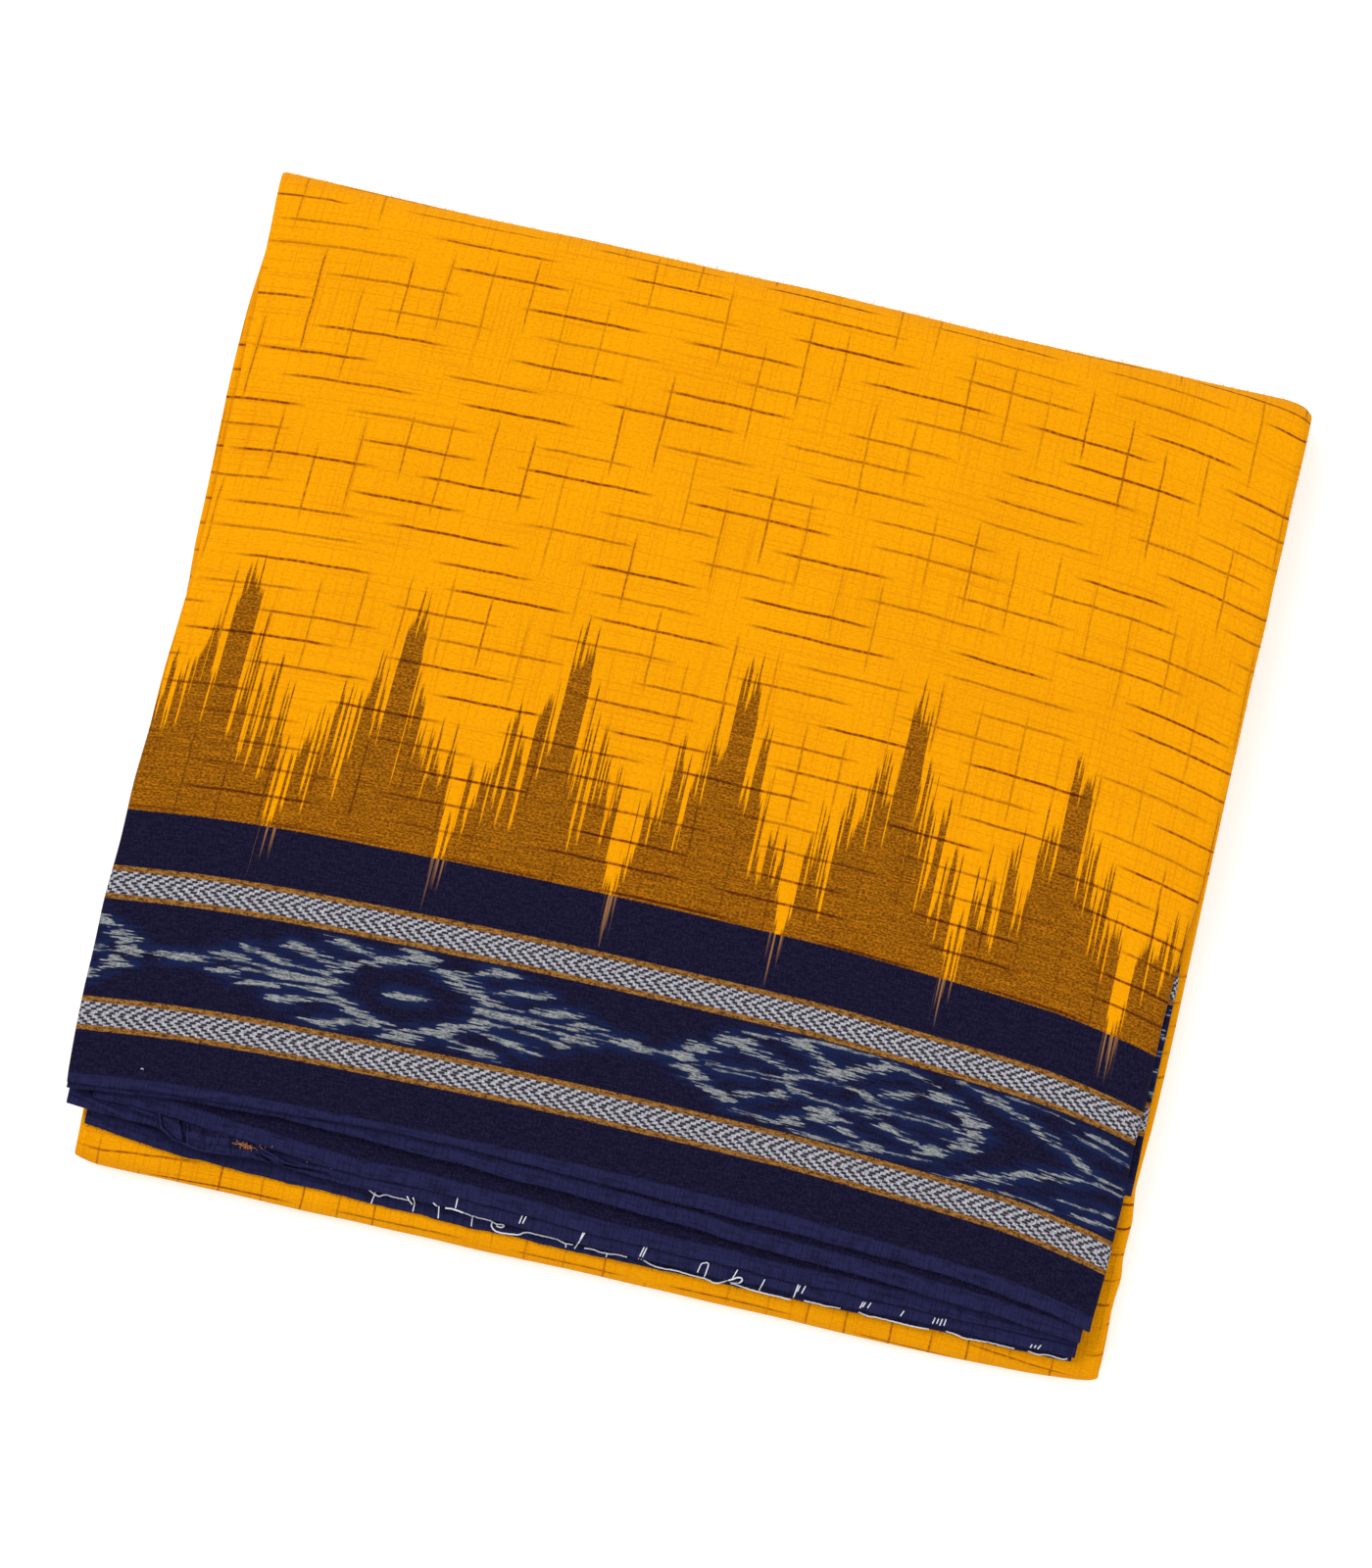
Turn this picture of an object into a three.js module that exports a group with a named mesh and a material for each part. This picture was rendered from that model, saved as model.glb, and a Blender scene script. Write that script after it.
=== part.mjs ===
// A cotton saree folded into a flat pack that lies on a table, in millimetres, +Z up.
// The length is folded into a pile of panels, and the pile is folded twice across its width.
// +X runs along those two folds, and -Y is the side where the border's selvedges show.
// Seen from the right-hand end, the pile is a horseshoe: the upper leg, the back fold and the
// lower leg, which ends in the mid fold. Depth is counted inwards from the outermost leaf.
import * as THREE from "three";

// Sizes of the pack and its cloth
const PACK_HEIGHT = 28;
const LEG_HEIGHT = PACK_HEIGHT / 2;
const PILE_HEIGHT = PACK_HEIGHT / 4;
const LEAF = 1.2; // wall of an outer leaf
const SEAM = 0.3; // gap between neighbouring pieces
const UNDER_LEAF = LEAF + 0.4; // depth where the hidden layers begin
const LIP_RIGHT = PILE_HEIGHT / 2; // the panels turn once at the right, round the whole pile
const LIP_LEFT = PILE_HEIGHT / 4; // and twice at the left
const BACK_REACH = 11.5; // how far the back fold stands out from the legs
const MID_REACH = 6.3; // how far the mid fold stands out from the lower leg
const MID_FLAT = 6; // flat stretch of the mid fold's leaf under the pack
const MID_LEAF_END = 130; // where the mid fold's leaf stops, hidden between the legs
const SELVEDGE_DROOP = 2.6; // how much lower the top leaf lies at its selvedge
const DROOP_LENGTH = 60;
const STRIP_DEPTH = 14; // how far the selvedge leaves reach back under the top leaf
const PEEK_BACK = 1.2; // how far an inner fold that peeks out reaches back in
const SIDE_ROWS = 4; // points round a rounded side edge
const FLAT_COLUMNS = 12; // stretches across the flat of the pack
const FOLD_STEPS = 8; // stretches round the back fold and round the mid fold

const CLOTH_COLOURS = { field: "#ffa800", border: "#1b183e" };

// Edges seen from above; a row is a place that shapes the edge.
const TOP_SELVEDGE = [
  { x: -161, y: -128 },
  { x: -130, y: -125 },
  { x: -100, y: -123.5 },
  { x: -60, y: -121.8 },
  { x: 0, y: -123.4 },
  { x: 50, y: -125.3 },
  { x: 100, y: -127.5 },
  { x: 130, y: -131 },
  { x: 152, y: -135.5 },
];
const SECOND_SELVEDGE = [
  { x: -160, y: -129.2 },
  { x: -130, y: -126.4 },
  { x: -100, y: -125 },
  { x: -60, y: -126.2 },
  { x: 0, y: -129 },
  { x: 50, y: -132 },
  { x: 100, y: -134.8 },
  { x: 148, y: -139 },
];
const THIRD_SELVEDGE = [
  { x: -159, y: -134.2 },
  { x: -130, y: -135 },
  { x: -100, y: -138 },
  { x: -75, y: -139.8 },
  { x: -45, y: -140.2 },
  { x: 0, y: -142.3 },
  { x: 60, y: -143.2 },
  { x: 148, y: -144 },
];
const FOURTH_SELVEDGE = [
  { x: -153, y: -139.3 },
  { x: -120, y: -142.3 },
  { x: -50, y: -144.2 },
  { x: 0, y: -145 },
  { x: 100, y: -144.9 },
  { x: 148, y: -145.3 },
];
const MID_FOLD_EDGE = [
  { x: -153, y: -149 },
  { x: -145, y: -150.3 },
  { x: 0, y: -150.8 },
  { x: 100, y: -151 },
  { x: 130, y: -150.5 },
  { x: 150, y: -149.4 },
  { x: 156, y: -148.6 },
];
const BACK_EDGE = [
  { x: -156, y: 149.5 },
  { x: -100, y: 149 },
  { x: 0, y: 149 },
  { x: 50, y: 148 },
  { x: 100, y: 147.5 },
  { x: 147, y: 147 },
  { x: 153, y: 145.6 },
  { x: 158, y: 142.6 },
];
const UPPER_LEFT_EDGE = [
  { y: -134, x: -159 },
  { y: -127, x: -160.5 },
  { y: -100, x: -161.5 },
  { y: -45, x: -160 },
  { y: 0, x: -158 },
  { y: 15, x: -157.2 },
  { y: 30, x: -156 },
  { y: 60, x: -155.3 },
  { y: 100, x: -155.3 },
  { y: 149, x: -156 },
];
const UPPER_RIGHT_EDGE = [
  { y: -135, x: 151.8 },
  { y: -105, x: 152.8 },
  { y: -60, x: 153.3 },
  { y: -30, x: 153.6 },
  { y: -12, x: 155.2 },
  { y: 10, x: 156.6 },
  { y: 100, x: 157.5 },
  { y: 149, x: 158 },
];
const LOWER_LEFT_EDGE = [
  { y: -149, x: -152.5 },
  { y: -100, x: -154 },
  { y: 0, x: -155 },
  { y: 149, x: -156 },
];
const LOWER_RIGHT_EDGE = [
  { y: -149, x: 156 },
  { y: -128, x: 155.8 },
  { y: -116, x: 156.3 },
  { y: -95, x: 155.8 },
  { y: -20, x: 156.5 },
  { y: 149, x: 157.5 },
];

// How far the inner folds peek out beyond the top leaf, along its side edges
const LEFT_PEEK = [
  { y: 19, out: 0.2 },
  { y: 40, out: 2.1 },
  { y: 70, out: 2.6 },
  { y: 105, out: 2.2 },
  { y: 126, out: 0.3 },
];
const RIGHT_PEEK = [
  { y: -93, out: 2 },
  { y: -60, out: 1.6 },
  { y: -30, out: 1.5 },
  { y: -23, out: 0.2 },
];

// The selvedge leaves under the top one, from the top down, and their ends at left and right
const SELVEDGE_LEAVES = [
  { name: "selvedge_leaf_2", edge: SECOND_SELVEDGE, left: -158.6, right: 149.4 },
  { name: "selvedge_leaf_3", edge: THIRD_SELVEDGE, left: -157.6, right: 149 },
  { name: "selvedge_leaf_4", edge: FOURTH_SELVEDGE, left: -152.8, right: 148.2 },
];

// Depths of the points down the hidden layers' sides, for one pile from its outer face to its
// inner face: the left side turns in two small folds there, the right side in one large fold.
const LAYER_ROWS = [
  { left: UNDER_LEAF, right: UNDER_LEAF },
  { left: 1.75, right: 2.1 },
  { left: 2.1, right: 2.8 },
  { left: 3, right: 3.5 },
  { left: 3.5, right: 3.8 },
  { left: 4, right: 5 },
  { left: 5.25, right: 6 },
  { left: 6.5, right: 6.7 },
  { left: 7, right: 7 },
];

// Places along the legs where their sections stand, between their near ends and the back fold
const UPPER_PLACES = [-99, -95, -60, -45, -30, -21, -17, 12, 17, 30, 50, 70, 90, 105, 127, 130];
const LOWER_PLACES = [100, 50, 0, -50, -95, -115, -130];
const PEEK_RANGE_LEFT = { from: 17, to: 127, run: 3 };
const PEEK_RANGE_RIGHT = { from: -95, to: -21, run: 4 };

const mix = THREE.MathUtils.lerp;

// A smooth function through a table's rows, from one named column to another. Its slope at a
// row is the harmonic mean of its neighbours', so that it never swings past a row.
function through(rows, key, value) {
  const rises = rows.slice(1).map((row, n) => (row[value] - rows[n][value]) / (row[key] - rows[n][key]));
  const slopes = rows.map((_, n) => {
    const before = rises[Math.max(n - 1, 0)];
    const after = rises[Math.min(n, rises.length - 1)];
    return before * after > 0 ? (2 * before * after) / (before + after) : 0;
  });
  return (t) => {
    const at = THREE.MathUtils.clamp(t, rows[0][key], rows[rows.length - 1][key]);
    const n = Math.max(0, rows.findLastIndex((row, index) => row[key] <= at && index < rises.length));
    const run = rows[n + 1][key] - rows[n][key];
    const u = (at - rows[n][key]) / run;
    const start = rows[n][value] + slopes[n] * run * u;
    const end = rows[n + 1][value] - slopes[n + 1] * run * (1 - u);
    return mix(start, end, THREE.MathUtils.smoothstep(u, 0, 1));
  };
}

const topSelvedgeY = through(TOP_SELVEDGE, "x", "y");
const midFoldY = through(MID_FOLD_EDGE, "x", "y");
const backY = through(BACK_EDGE, "x", "y");
const upperLeftX = through(UPPER_LEFT_EDGE, "y", "x");
const upperRightX = through(UPPER_RIGHT_EDGE, "y", "x");
const lowerLeftX = through(LOWER_LEFT_EDGE, "y", "x");
const lowerRightX = through(LOWER_RIGHT_EDGE, "y", "x");
const leftPeek = through(LEFT_PEEK, "y", "out");
const rightPeek = through(RIGHT_PEEK, "y", "out");

function steps(count) {
  return Array.from({ length: count + 1 }, (_, i) => i / count);
}

// Where the straight legs end and the two folds begin
const backFoldY = (x) => backY(x) - BACK_REACH;
const midBendY = (x) => midFoldY(x) + MID_REACH;
const stripBackY = (x) => topSelvedgeY(x) + STRIP_DEPTH;

// Height of the top leaf, which sinks towards its selvedge where fewer leaves lie under it
function topHeight(x, y) {
  const inwards = THREE.MathUtils.smoothstep(y - topSelvedgeY(x), 0, DROOP_LENGTH);
  return PACK_HEIGHT - SELVEDGE_DROOP * (1 - inwards);
}

// A point of the upper leg at a depth under the top leaf. Just under the leaf the depth is
// true, and deeper layers are pressed together where the leaf sinks.
function upperPoint(x, y, depth) {
  const top = topHeight(x, y);
  const trueDepth = LIP_RIGHT + 2 * SEAM;
  if (depth <= trueDepth) return { y, z: top - depth };
  const share = (depth - trueDepth) / (LEG_HEIGHT - trueDepth);
  return { y, z: mix(top - trueDepth, LEG_HEIGHT, share) };
}

// A point of the back fold: turn 0 is at the top and turn 1 is underneath.
function backFoldPoint(x, turn, depth) {
  const angle = Math.PI * (0.5 - turn);
  const share = (LEG_HEIGHT - depth) / LEG_HEIGHT;
  const reach = BACK_REACH * share * Math.cos(angle);
  return { y: backFoldY(x) + reach, z: LEG_HEIGHT * (1 + share * Math.sin(angle)) };
}

// A point of the lower leg, whose depth is its height above the table.
const lowerPoint = (x, y, depth) => ({ y, z: depth });

// A point of the mid fold: turn 0 is underneath and turn 1 is on top of the lower leg.
function midFoldPoint(x, turn, depth) {
  const angle = Math.PI * (turn - 0.5);
  const share = (PILE_HEIGHT - depth) / PILE_HEIGHT;
  const reach = MID_REACH * share * Math.cos(angle);
  return { y: midBendY(x) - reach, z: PILE_HEIGHT * (1 + share * Math.sin(angle)) };
}

// The closed surface of a block of points: place(i, j, k) gives the point at each index.
function block(counts, place) {
  const [ni, nj, nk] = counts;
  const positions = [];
  const numbers = new Map();
  const corner = (i, j, k) => {
    const point = place(i, j, k);
    const key = point.toArray().map((value) => Math.round(value * 1000)).join(",");
    if (!numbers.has(key)) {
      numbers.set(key, positions.length / 3);
      positions.push(point.x, point.y, point.z);
    }
    return numbers.get(key);
  };
  const triangles = [];
  const quad = (a, b, c, d) => {
    for (const [p, q, r] of [[a, b, c], [a, c, d]]) {
      if (p !== q && q !== r && r !== p) triangles.push(p, q, r);
    }
  };
  const sheet = (nu, nv, at) => {
    for (let u = 0; u < nu; u++) {
      for (let v = 0; v < nv; v++) quad(at(u, v), at(u + 1, v), at(u + 1, v + 1), at(u, v + 1));
    }
  };
  sheet(nk, nj, (k, j) => corner(0, j, k));
  sheet(nj, nk, (j, k) => corner(ni, j, k));
  sheet(ni, nk, (i, k) => corner(i, 0, k));
  sheet(nk, ni, (k, i) => corner(i, nj, k));
  sheet(nj, ni, (j, i) => corner(i, j, 0));
  sheet(ni, nj, (i, j) => corner(i, j, nk));
  return facingOut(positions, triangles);
}

function facingOut(positions, triangles) {
  const point = (n) => new THREE.Vector3().fromArray(positions, 3 * n);
  let volume = 0;
  for (let t = 0; t < triangles.length; t += 3) {
    const [a, b, c] = triangles.slice(t, t + 3).map(point);
    volume += a.dot(b.cross(c)) / 6;
  }
  const index = volume < 0 ? triangles.reverse() : triangles;
  const geometry = new THREE.BufferGeometry();
  geometry.setAttribute("position", new THREE.Float32BufferAttribute(positions, 3));
  geometry.setIndex(index);
  geometry.computeVertexNormals();
  return geometry;
}

function clothPiece(name, geometry, colour) {
  const material = new THREE.MeshStandardMaterial({ color: colour, roughness: 0.9, metalness: 0 });
  const mesh = new THREE.Mesh(geometry, material);
  mesh.name = name;
  return mesh;
}

// Stations across a leaf: down the rounded left edge, over the flat, down the right edge
function acrossLeaf(flatCount) {
  const lip = steps(SIDE_ROWS - 1);
  const left = lip.slice(1).reverse().map((turn) => ({ side: "left", turn }));
  const flat = steps(flatCount).map((share) => ({ side: "flat", share }));
  const right = lip.slice(1).map((turn) => ({ side: "right", turn }));
  return [...left, ...flat, ...right];
}

// Across place and depth of a leaf's point: inset is 0 on the outside, LEAF on the inside.
function leafSection(station, left, right, inset) {
  if (station.side === "flat") {
    return { x: mix(left + LIP_LEFT, right - LIP_RIGHT, station.share), depth: inset };
  }
  const lip = station.side === "left" ? LIP_LEFT : LIP_RIGHT;
  const angle = (station.turn * Math.PI) / 2;
  const out = (lip - inset) * Math.sin(angle) - lip;
  const x = station.side === "left" ? left - out : right + out;
  return { x, depth: lip - (lip - inset) * Math.cos(angle) };
}

// An outer leaf: along gives its stations, each with its side edges and its points' places.
function leaf(name, along, colour) {
  const across = acrossLeaf(FLAT_COLUMNS);
  const geometry = block([along.length - 1, across.length - 1, 1], (i, j, k) => {
    const { edges, point } = along[i];
    const flatX = { left: -150, flat: mix(-150, 150, across[j].share ?? 0), right: 150 };
    const { left, right } = edges(flatX[across[j].side]);
    const { x, depth } = leafSection(across[j], left, right, k * LEAF);
    const { y, z } = point(x, depth);
    return new THREE.Vector3(x, y, z);
  });
  return clothPiece(name, geometry, colour);
}

function topLeaf() {
  const nearEnd = [0, 0.5, 1].map((share) => (x) => topSelvedgeY(x) + share * STRIP_DEPTH);
  const seam = (x) => backFoldY(x) - SEAM / 2;
  const along = [...nearEnd, ...UPPER_PLACES.map((y) => () => y), seam].map((yAt) => ({
    edges: (x) => ({ left: upperLeftX(yAt(x)), right: upperRightX(yAt(x)) }),
    point: (x, depth) => upperPoint(x, yAt(x), depth),
  }));
  return leaf("top_leaf", along, CLOTH_COLOURS.field);
}

// Side edges of the pack round the back fold, from the upper leg's to the lower leg's
function backEdges(turn) {
  const y = 140;
  return {
    left: mix(upperLeftX(y), lowerLeftX(y), turn),
    right: mix(upperRightX(y), lowerRightX(y), turn),
  };
}

function backFold() {
  const seamTurn = SEAM / 2 / (Math.PI * LEG_HEIGHT);
  const along = steps(FOLD_STEPS).map((share) => {
    const turn = mix(seamTurn, 1 - seamTurn, share);
    return {
      edges: () => backEdges(turn),
      point: (x, depth) => backFoldPoint(x, turn, depth),
    };
  });
  return leaf("back_fold", along, CLOTH_COLOURS.field);
}

function underLeaf() {
  const start = (x) => backFoldY(x) - SEAM / 2;
  const end = (x) => midBendY(x) + MID_FLAT + SEAM / 2;
  const along = [start, ...LOWER_PLACES.map((y) => () => y), end].map((yAt) => ({
    edges: (x) => ({ left: lowerLeftX(yAt(x)), right: lowerRightX(yAt(x)) }),
    point: (x, depth) => lowerPoint(x, yAt(x), depth),
  }));
  return leaf("under_leaf", along, CLOTH_COLOURS.field);
}

function midFold() {
  const sides = (yAt) => (x) => ({ left: lowerLeftX(yAt(x)), right: lowerRightX(yAt(x)) });
  const start = {
    edges: sides((x) => midBendY(x) + MID_FLAT),
    point: (x, depth) => lowerPoint(x, midBendY(x) + MID_FLAT - SEAM / 2, depth),
  };
  const bend = steps(FOLD_STEPS).map((turn) => ({
    edges: sides(midBendY),
    point: (x, depth) => midFoldPoint(x, turn, depth),
  }));
  const top = [...LOWER_PLACES.toReversed(), MID_LEAF_END].map((y) => ({
    edges: sides(() => y),
    point: (x, depth) => ({ y, z: LEG_HEIGHT - depth }),
  }));
  return leaf("mid_fold", [start, ...bend, ...top], CLOTH_COLOURS.field);
}

// A leaf that ends in a selvedge under the top leaf. Three of them fill the height there.
function selvedgeLeaf(row, order) {
  const edgeY = through(row.edge, "x", "y");
  const rounding = [
    { share: 0, thick: 0.35 },
    { share: 0.03, thick: 0.75 },
    { share: 0.1, thick: 1 },
    { share: 0.5, thick: 1 },
    { share: 1, thick: 1 },
  ];
  const across = [0, 0.006, 0.08, 0.17, 0.26, 0.35, 0.45, 0.55, 0.65, 0.75, 0.85, 0.93, 0.994, 1];
  const place = (i, j, k) => {
    const x = mix(row.left, row.right, across[j]);
    const y = mix(edgeY(x), stripBackY(x) - 2 * SEAM, rounding[i].share);
    const top = topHeight(x, y) - UNDER_LEAF;
    const bottom = LEG_HEIGHT + SEAM;
    const pitch = (top - bottom + SEAM) / SELVEDGE_LEAVES.length;
    const middle = top - order * pitch - (pitch - SEAM) / 2;
    const endThick = j === 0 || j === across.length - 1 ? 0.5 : 1;
    const half = ((pitch - SEAM) / 2) * rounding[i].thick * endThick;
    return new THREE.Vector3(x, y, middle + (k === 0 ? -half : half));
  };
  const geometry = block([rounding.length - 1, across.length - 1, 1], place);
  return clothPiece(row.name, geometry, CLOTH_COLOURS.border);
}

// An inner fold that peeks out at a side, under the top leaf's rounded edge
function peekingFold(name, table, peek, edgeX, sign, depths, colour) {
  const from = table[0].y;
  const to = table[table.length - 1].y;
  const along = [from, ...UPPER_PLACES.filter((y) => y > from && y < to), to];
  const section = [
    { out: 0, deep: 0.12 },
    { out: 0.7, deep: 0.12 },
    { out: 1, deep: 0.5 },
  ];
  const geometry = block([along.length - 1, section.length - 1, 1], (i, j, k) => {
    const y = along[i];
    const inner = edgeX(y) - sign * PEEK_BACK;
    const outer = edgeX(y) + sign * peek(y);
    const x = mix(inner, outer, section[j].out);
    const share = k === 0 ? section[j].deep * 0.5 : 1 - section[j].deep * 0.5;
    const depth = mix(depths.from, depths.to, share);
    const { z } = upperPoint(x, y, depth);
    return new THREE.Vector3(x, y, z);
  });
  return clothPiece(name, geometry, colour);
}

// How far a row of rounded folds falls back from the side edge at a depth in the pile
function foldInset(depth, foldHeight, leafLip) {
  if (depth <= leafLip + 1e-6) {
    const radius = leafLip - UNDER_LEAF;
    const rise = THREE.MathUtils.clamp((leafLip - depth) / radius, 0, 1);
    return leafLip - radius * Math.sqrt(1 - rise * rise);
  }
  const place = (depth % foldHeight) / foldHeight;
  const slope = 2 * place - 1;
  return (foldHeight / 2) * (1 - Math.sqrt(Math.max(0, 1 - slope * slope))) * 0.8;
}

// 1 inside a range, falling to 0 over its run on either side
function inside(range, value) {
  const rise = THREE.MathUtils.clamp((value - range.from + range.run) / range.run, 0, 1);
  const fall = THREE.MathUtils.clamp((range.to + range.run - value) / range.run, 0, 1);
  return Math.min(rise, fall);
}

// The hidden layers, one rounded horseshoe with the folds' edges down both sides
function innerLayers() {
  const columns = steps(FLAT_COLUMNS);
  const rows = [
    ...LAYER_ROWS.map((row) => ({ ...row, pile: 0 })),
    ...LAYER_ROWS.slice(0, -1).reverse().map((row) => ({ ...row, pile: 1 })),
  ];

  // Depth from the outermost leaf, where the upper leg reaches further in than the lower leg
  const depthOf = (row, side, lower) => {
    if (row.pile === 0) return row[side];
    const facing = LEG_HEIGHT - row[side];
    const full = mix(PILE_HEIGHT, LEG_HEIGHT - SEAM, (facing - PILE_HEIGHT) / (PILE_HEIGHT - UNDER_LEAF));
    return mix(full, facing, lower);
  };
  const insetOf = (row, side, lower, y) => {
    const lip = side === "left" ? LIP_LEFT : LIP_RIGHT;
    const foldHeight = 2 * lip;
    if (row.pile === 0) {
      const range = side === "left" ? PEEK_RANGE_LEFT : PEEK_RANGE_RIGHT;
      const peeks = row[side] > LIP_RIGHT - 1e-6 && lower === 0;
      const recess = peeks ? inside(range, y) * (PEEK_BACK + 1.5 * SEAM) : 0;
      return Math.max(foldInset(row[side], foldHeight, lip), recess);
    }
    const open = foldInset(depthOf(row, side, 0), foldHeight, 0);
    return mix(open, foldInset(row[side], foldHeight, lip), lower);
  };

  const upper = [stripBackY, ...UPPER_PLACES.map((y) => () => y)].map((yAt) => ({
    lower: 0,
    edges: (x) => ({ left: upperLeftX(yAt(x)), right: upperRightX(yAt(x)) }),
    point: (x, depth) => upperPoint(x, yAt(x), depth),
    sideY: yAt,
  }));
  const bend = steps(FOLD_STEPS).map((turn) => ({
    lower: turn,
    edges: () => backEdges(turn),
    point: (x, depth) => backFoldPoint(x, turn, depth),
    sideY: backFoldY,
  }));
  const lower = [...LOWER_PLACES.map((y) => () => y), midBendY].map((yAt) => ({
    lower: 1,
    edges: (x) => ({ left: lowerLeftX(yAt(x)), right: lowerRightX(yAt(x)) }),
    point: (x, depth) => lowerPoint(x, yAt(x), depth),
    sideY: yAt,
    pull: yAt === midBendY ? 2 * SEAM : 0,
  }));
  const halfHeight = PILE_HEIGHT - UNDER_LEAF;
  const nose = {
    lower: 1,
    edges: (x) => ({ left: lowerLeftX(midBendY(x)), right: lowerRightX(midBendY(x)) }),
    point: (x, depth) => {
      const rise = Math.min(1, Math.abs(depth - PILE_HEIGHT) / halfHeight);
      const reach = ((MID_REACH * halfHeight) / PILE_HEIGHT) * Math.sqrt(1 - rise * rise);
      return { y: midBendY(x) - reach, z: depth };
    },
    sideY: midBendY,
    inset: { left: LIP_LEFT + SEAM, right: LIP_RIGHT + SEAM },
  };
  const along = [...upper, ...bend, ...lower, nose];

  const geometry = block([along.length - 1, rows.length - 1, columns.length - 1], (i, k, j) => {
    const station = along[i];
    const row = rows[k];
    const share = columns[j];
    const nearX = mix(-155, 155, share);
    const { left, right } = station.edges(nearX);
    const y = station.sideY(nearX);
    const pull = station.pull ?? 0;
    const insetLeft = station.inset?.left ?? insetOf(row, "left", station.lower, y) + pull;
    const insetRight = station.inset?.right ?? insetOf(row, "right", station.lower, y) + pull;
    const x = mix(left + insetLeft, right - insetRight, share);
    const depth = mix(depthOf(row, "left", station.lower), depthOf(row, "right", station.lower), share);
    const point = station.point(x, depth);
    return new THREE.Vector3(x, point.y, point.z);
  });
  return clothPiece("inner_layers", geometry, CLOTH_COLOURS.field);
}

const saree = new THREE.Group();
saree.name = "folded_saree";
saree.add(topLeaf(), backFold(), underLeaf(), midFold(), innerLayers());
SELVEDGE_LEAVES.forEach((row, order) => saree.add(selvedgeLeaf(row, order)));
const peekDepths = { from: LIP_RIGHT + SEAM, to: PILE_HEIGHT - SEAM };
saree.add(
  peekingFold("left_inner_fold", LEFT_PEEK, leftPeek, upperLeftX, -1, peekDepths, CLOTH_COLOURS.field),
  peekingFold("right_inner_fold", RIGHT_PEEK, rightPeek, upperRightX, 1, peekDepths, CLOTH_COLOURS.border),
);

// The origin lies under the middle of the pack, on the table.
const extent = new THREE.Box3().setFromObject(saree);
const middle = extent.getCenter(new THREE.Vector3());
saree.position.set(-middle.x, -middle.y, -extent.min.z);

export default saree;
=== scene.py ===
# %% [markdown]
# # A folded cotton saree
# The saree is one long cloth. It is folded along its length into a pile of panels, and the
# pile is folded twice across, so a flat pack lies on the table: amber field on top, the deep
# blue border near the front, and the selvedges showing in steps under it. Everything here is
# made in millimetres on the plan of the pack and turned into metres at the very end.

import math

import bpy
import numpy as np
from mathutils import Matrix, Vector, noise


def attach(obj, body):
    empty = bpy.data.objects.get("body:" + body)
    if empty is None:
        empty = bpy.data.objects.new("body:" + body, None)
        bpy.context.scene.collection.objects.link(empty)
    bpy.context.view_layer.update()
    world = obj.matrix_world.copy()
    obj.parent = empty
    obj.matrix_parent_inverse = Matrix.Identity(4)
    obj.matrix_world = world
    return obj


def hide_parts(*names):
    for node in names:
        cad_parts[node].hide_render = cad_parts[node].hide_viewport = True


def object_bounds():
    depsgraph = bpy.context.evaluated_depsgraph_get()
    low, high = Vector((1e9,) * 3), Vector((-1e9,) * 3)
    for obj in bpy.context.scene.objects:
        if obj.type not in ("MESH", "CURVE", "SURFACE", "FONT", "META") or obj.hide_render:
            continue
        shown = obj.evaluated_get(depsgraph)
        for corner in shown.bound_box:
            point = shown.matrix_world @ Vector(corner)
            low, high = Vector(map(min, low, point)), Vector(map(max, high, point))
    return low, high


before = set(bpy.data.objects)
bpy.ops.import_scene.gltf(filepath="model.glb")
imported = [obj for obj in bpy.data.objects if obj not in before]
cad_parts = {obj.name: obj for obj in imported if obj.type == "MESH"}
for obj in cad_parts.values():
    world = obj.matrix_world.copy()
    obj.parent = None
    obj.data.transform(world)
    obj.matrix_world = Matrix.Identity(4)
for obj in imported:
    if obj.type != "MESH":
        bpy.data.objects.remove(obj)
cad_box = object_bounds()
print("CAD box:", [tuple(round(c, 4) for c in corner) for corner in cad_box])

# %% [markdown]
# The plan's zero lies near the middle of the pack, and the frame's zero in the middle of its
# box, so one small shift carries every plan point over. It is read off the solids' own box.

# %% From the plan to the frame
PLAN_LEFT = -161.5
PLAN_FRONT = -151.0
MM = 0.001
SHIFT = np.array([cad_box[0][0] - PLAN_LEFT * MM, cad_box[0][1] - PLAN_FRONT * MM, 0.0])
print("shift of the plan in mm:", np.round(SHIFT / MM, 3))


def in_frame(points):
    """Plan points in millimetres as frame points in metres."""
    return np.asarray(points, dtype=float) * MM + SHIFT


# %% [markdown]
# ## Camera, floor and light
# The pack is seen from straight above, turned a little in the picture. A long lens high above
# keeps the sides from leaning. The floor is plain and pale, and two broad soft lights with a
# bright surround give hardly any shadow, as on a light table.

# %% Camera straight above
TURN = math.radians(12.4)
FRAME_HEIGHT = 0.464
LENS = 400.0
SENSOR = 36.0
TOP_OF_PACK = 0.027
view_centre = in_frame((-0.07, -2.39, 0.0))
camera_data = bpy.data.cameras.new("camera_above")
camera_data.sensor_fit = "VERTICAL"
camera_data.sensor_height = SENSOR
camera_data.sensor_width = SENSOR
camera_data.lens = LENS
camera_data.clip_end = 20.0
camera = bpy.data.objects.new("camera_above", camera_data)
camera.location = (view_centre[0], view_centre[1], TOP_OF_PACK + FRAME_HEIGHT * LENS / SENSOR)
camera.rotation_euler = (0.0, 0.0, TURN)
bpy.context.collection.objects.link(camera)
bpy.context.scene.camera = camera
print("camera height:", round(camera.location.z, 3))

# %% [markdown]
# The floor is one large plane. It belongs to the stage, not to the saree, so it is named as
# such. It glows a little, which keeps it white right up to the cloth.

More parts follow.
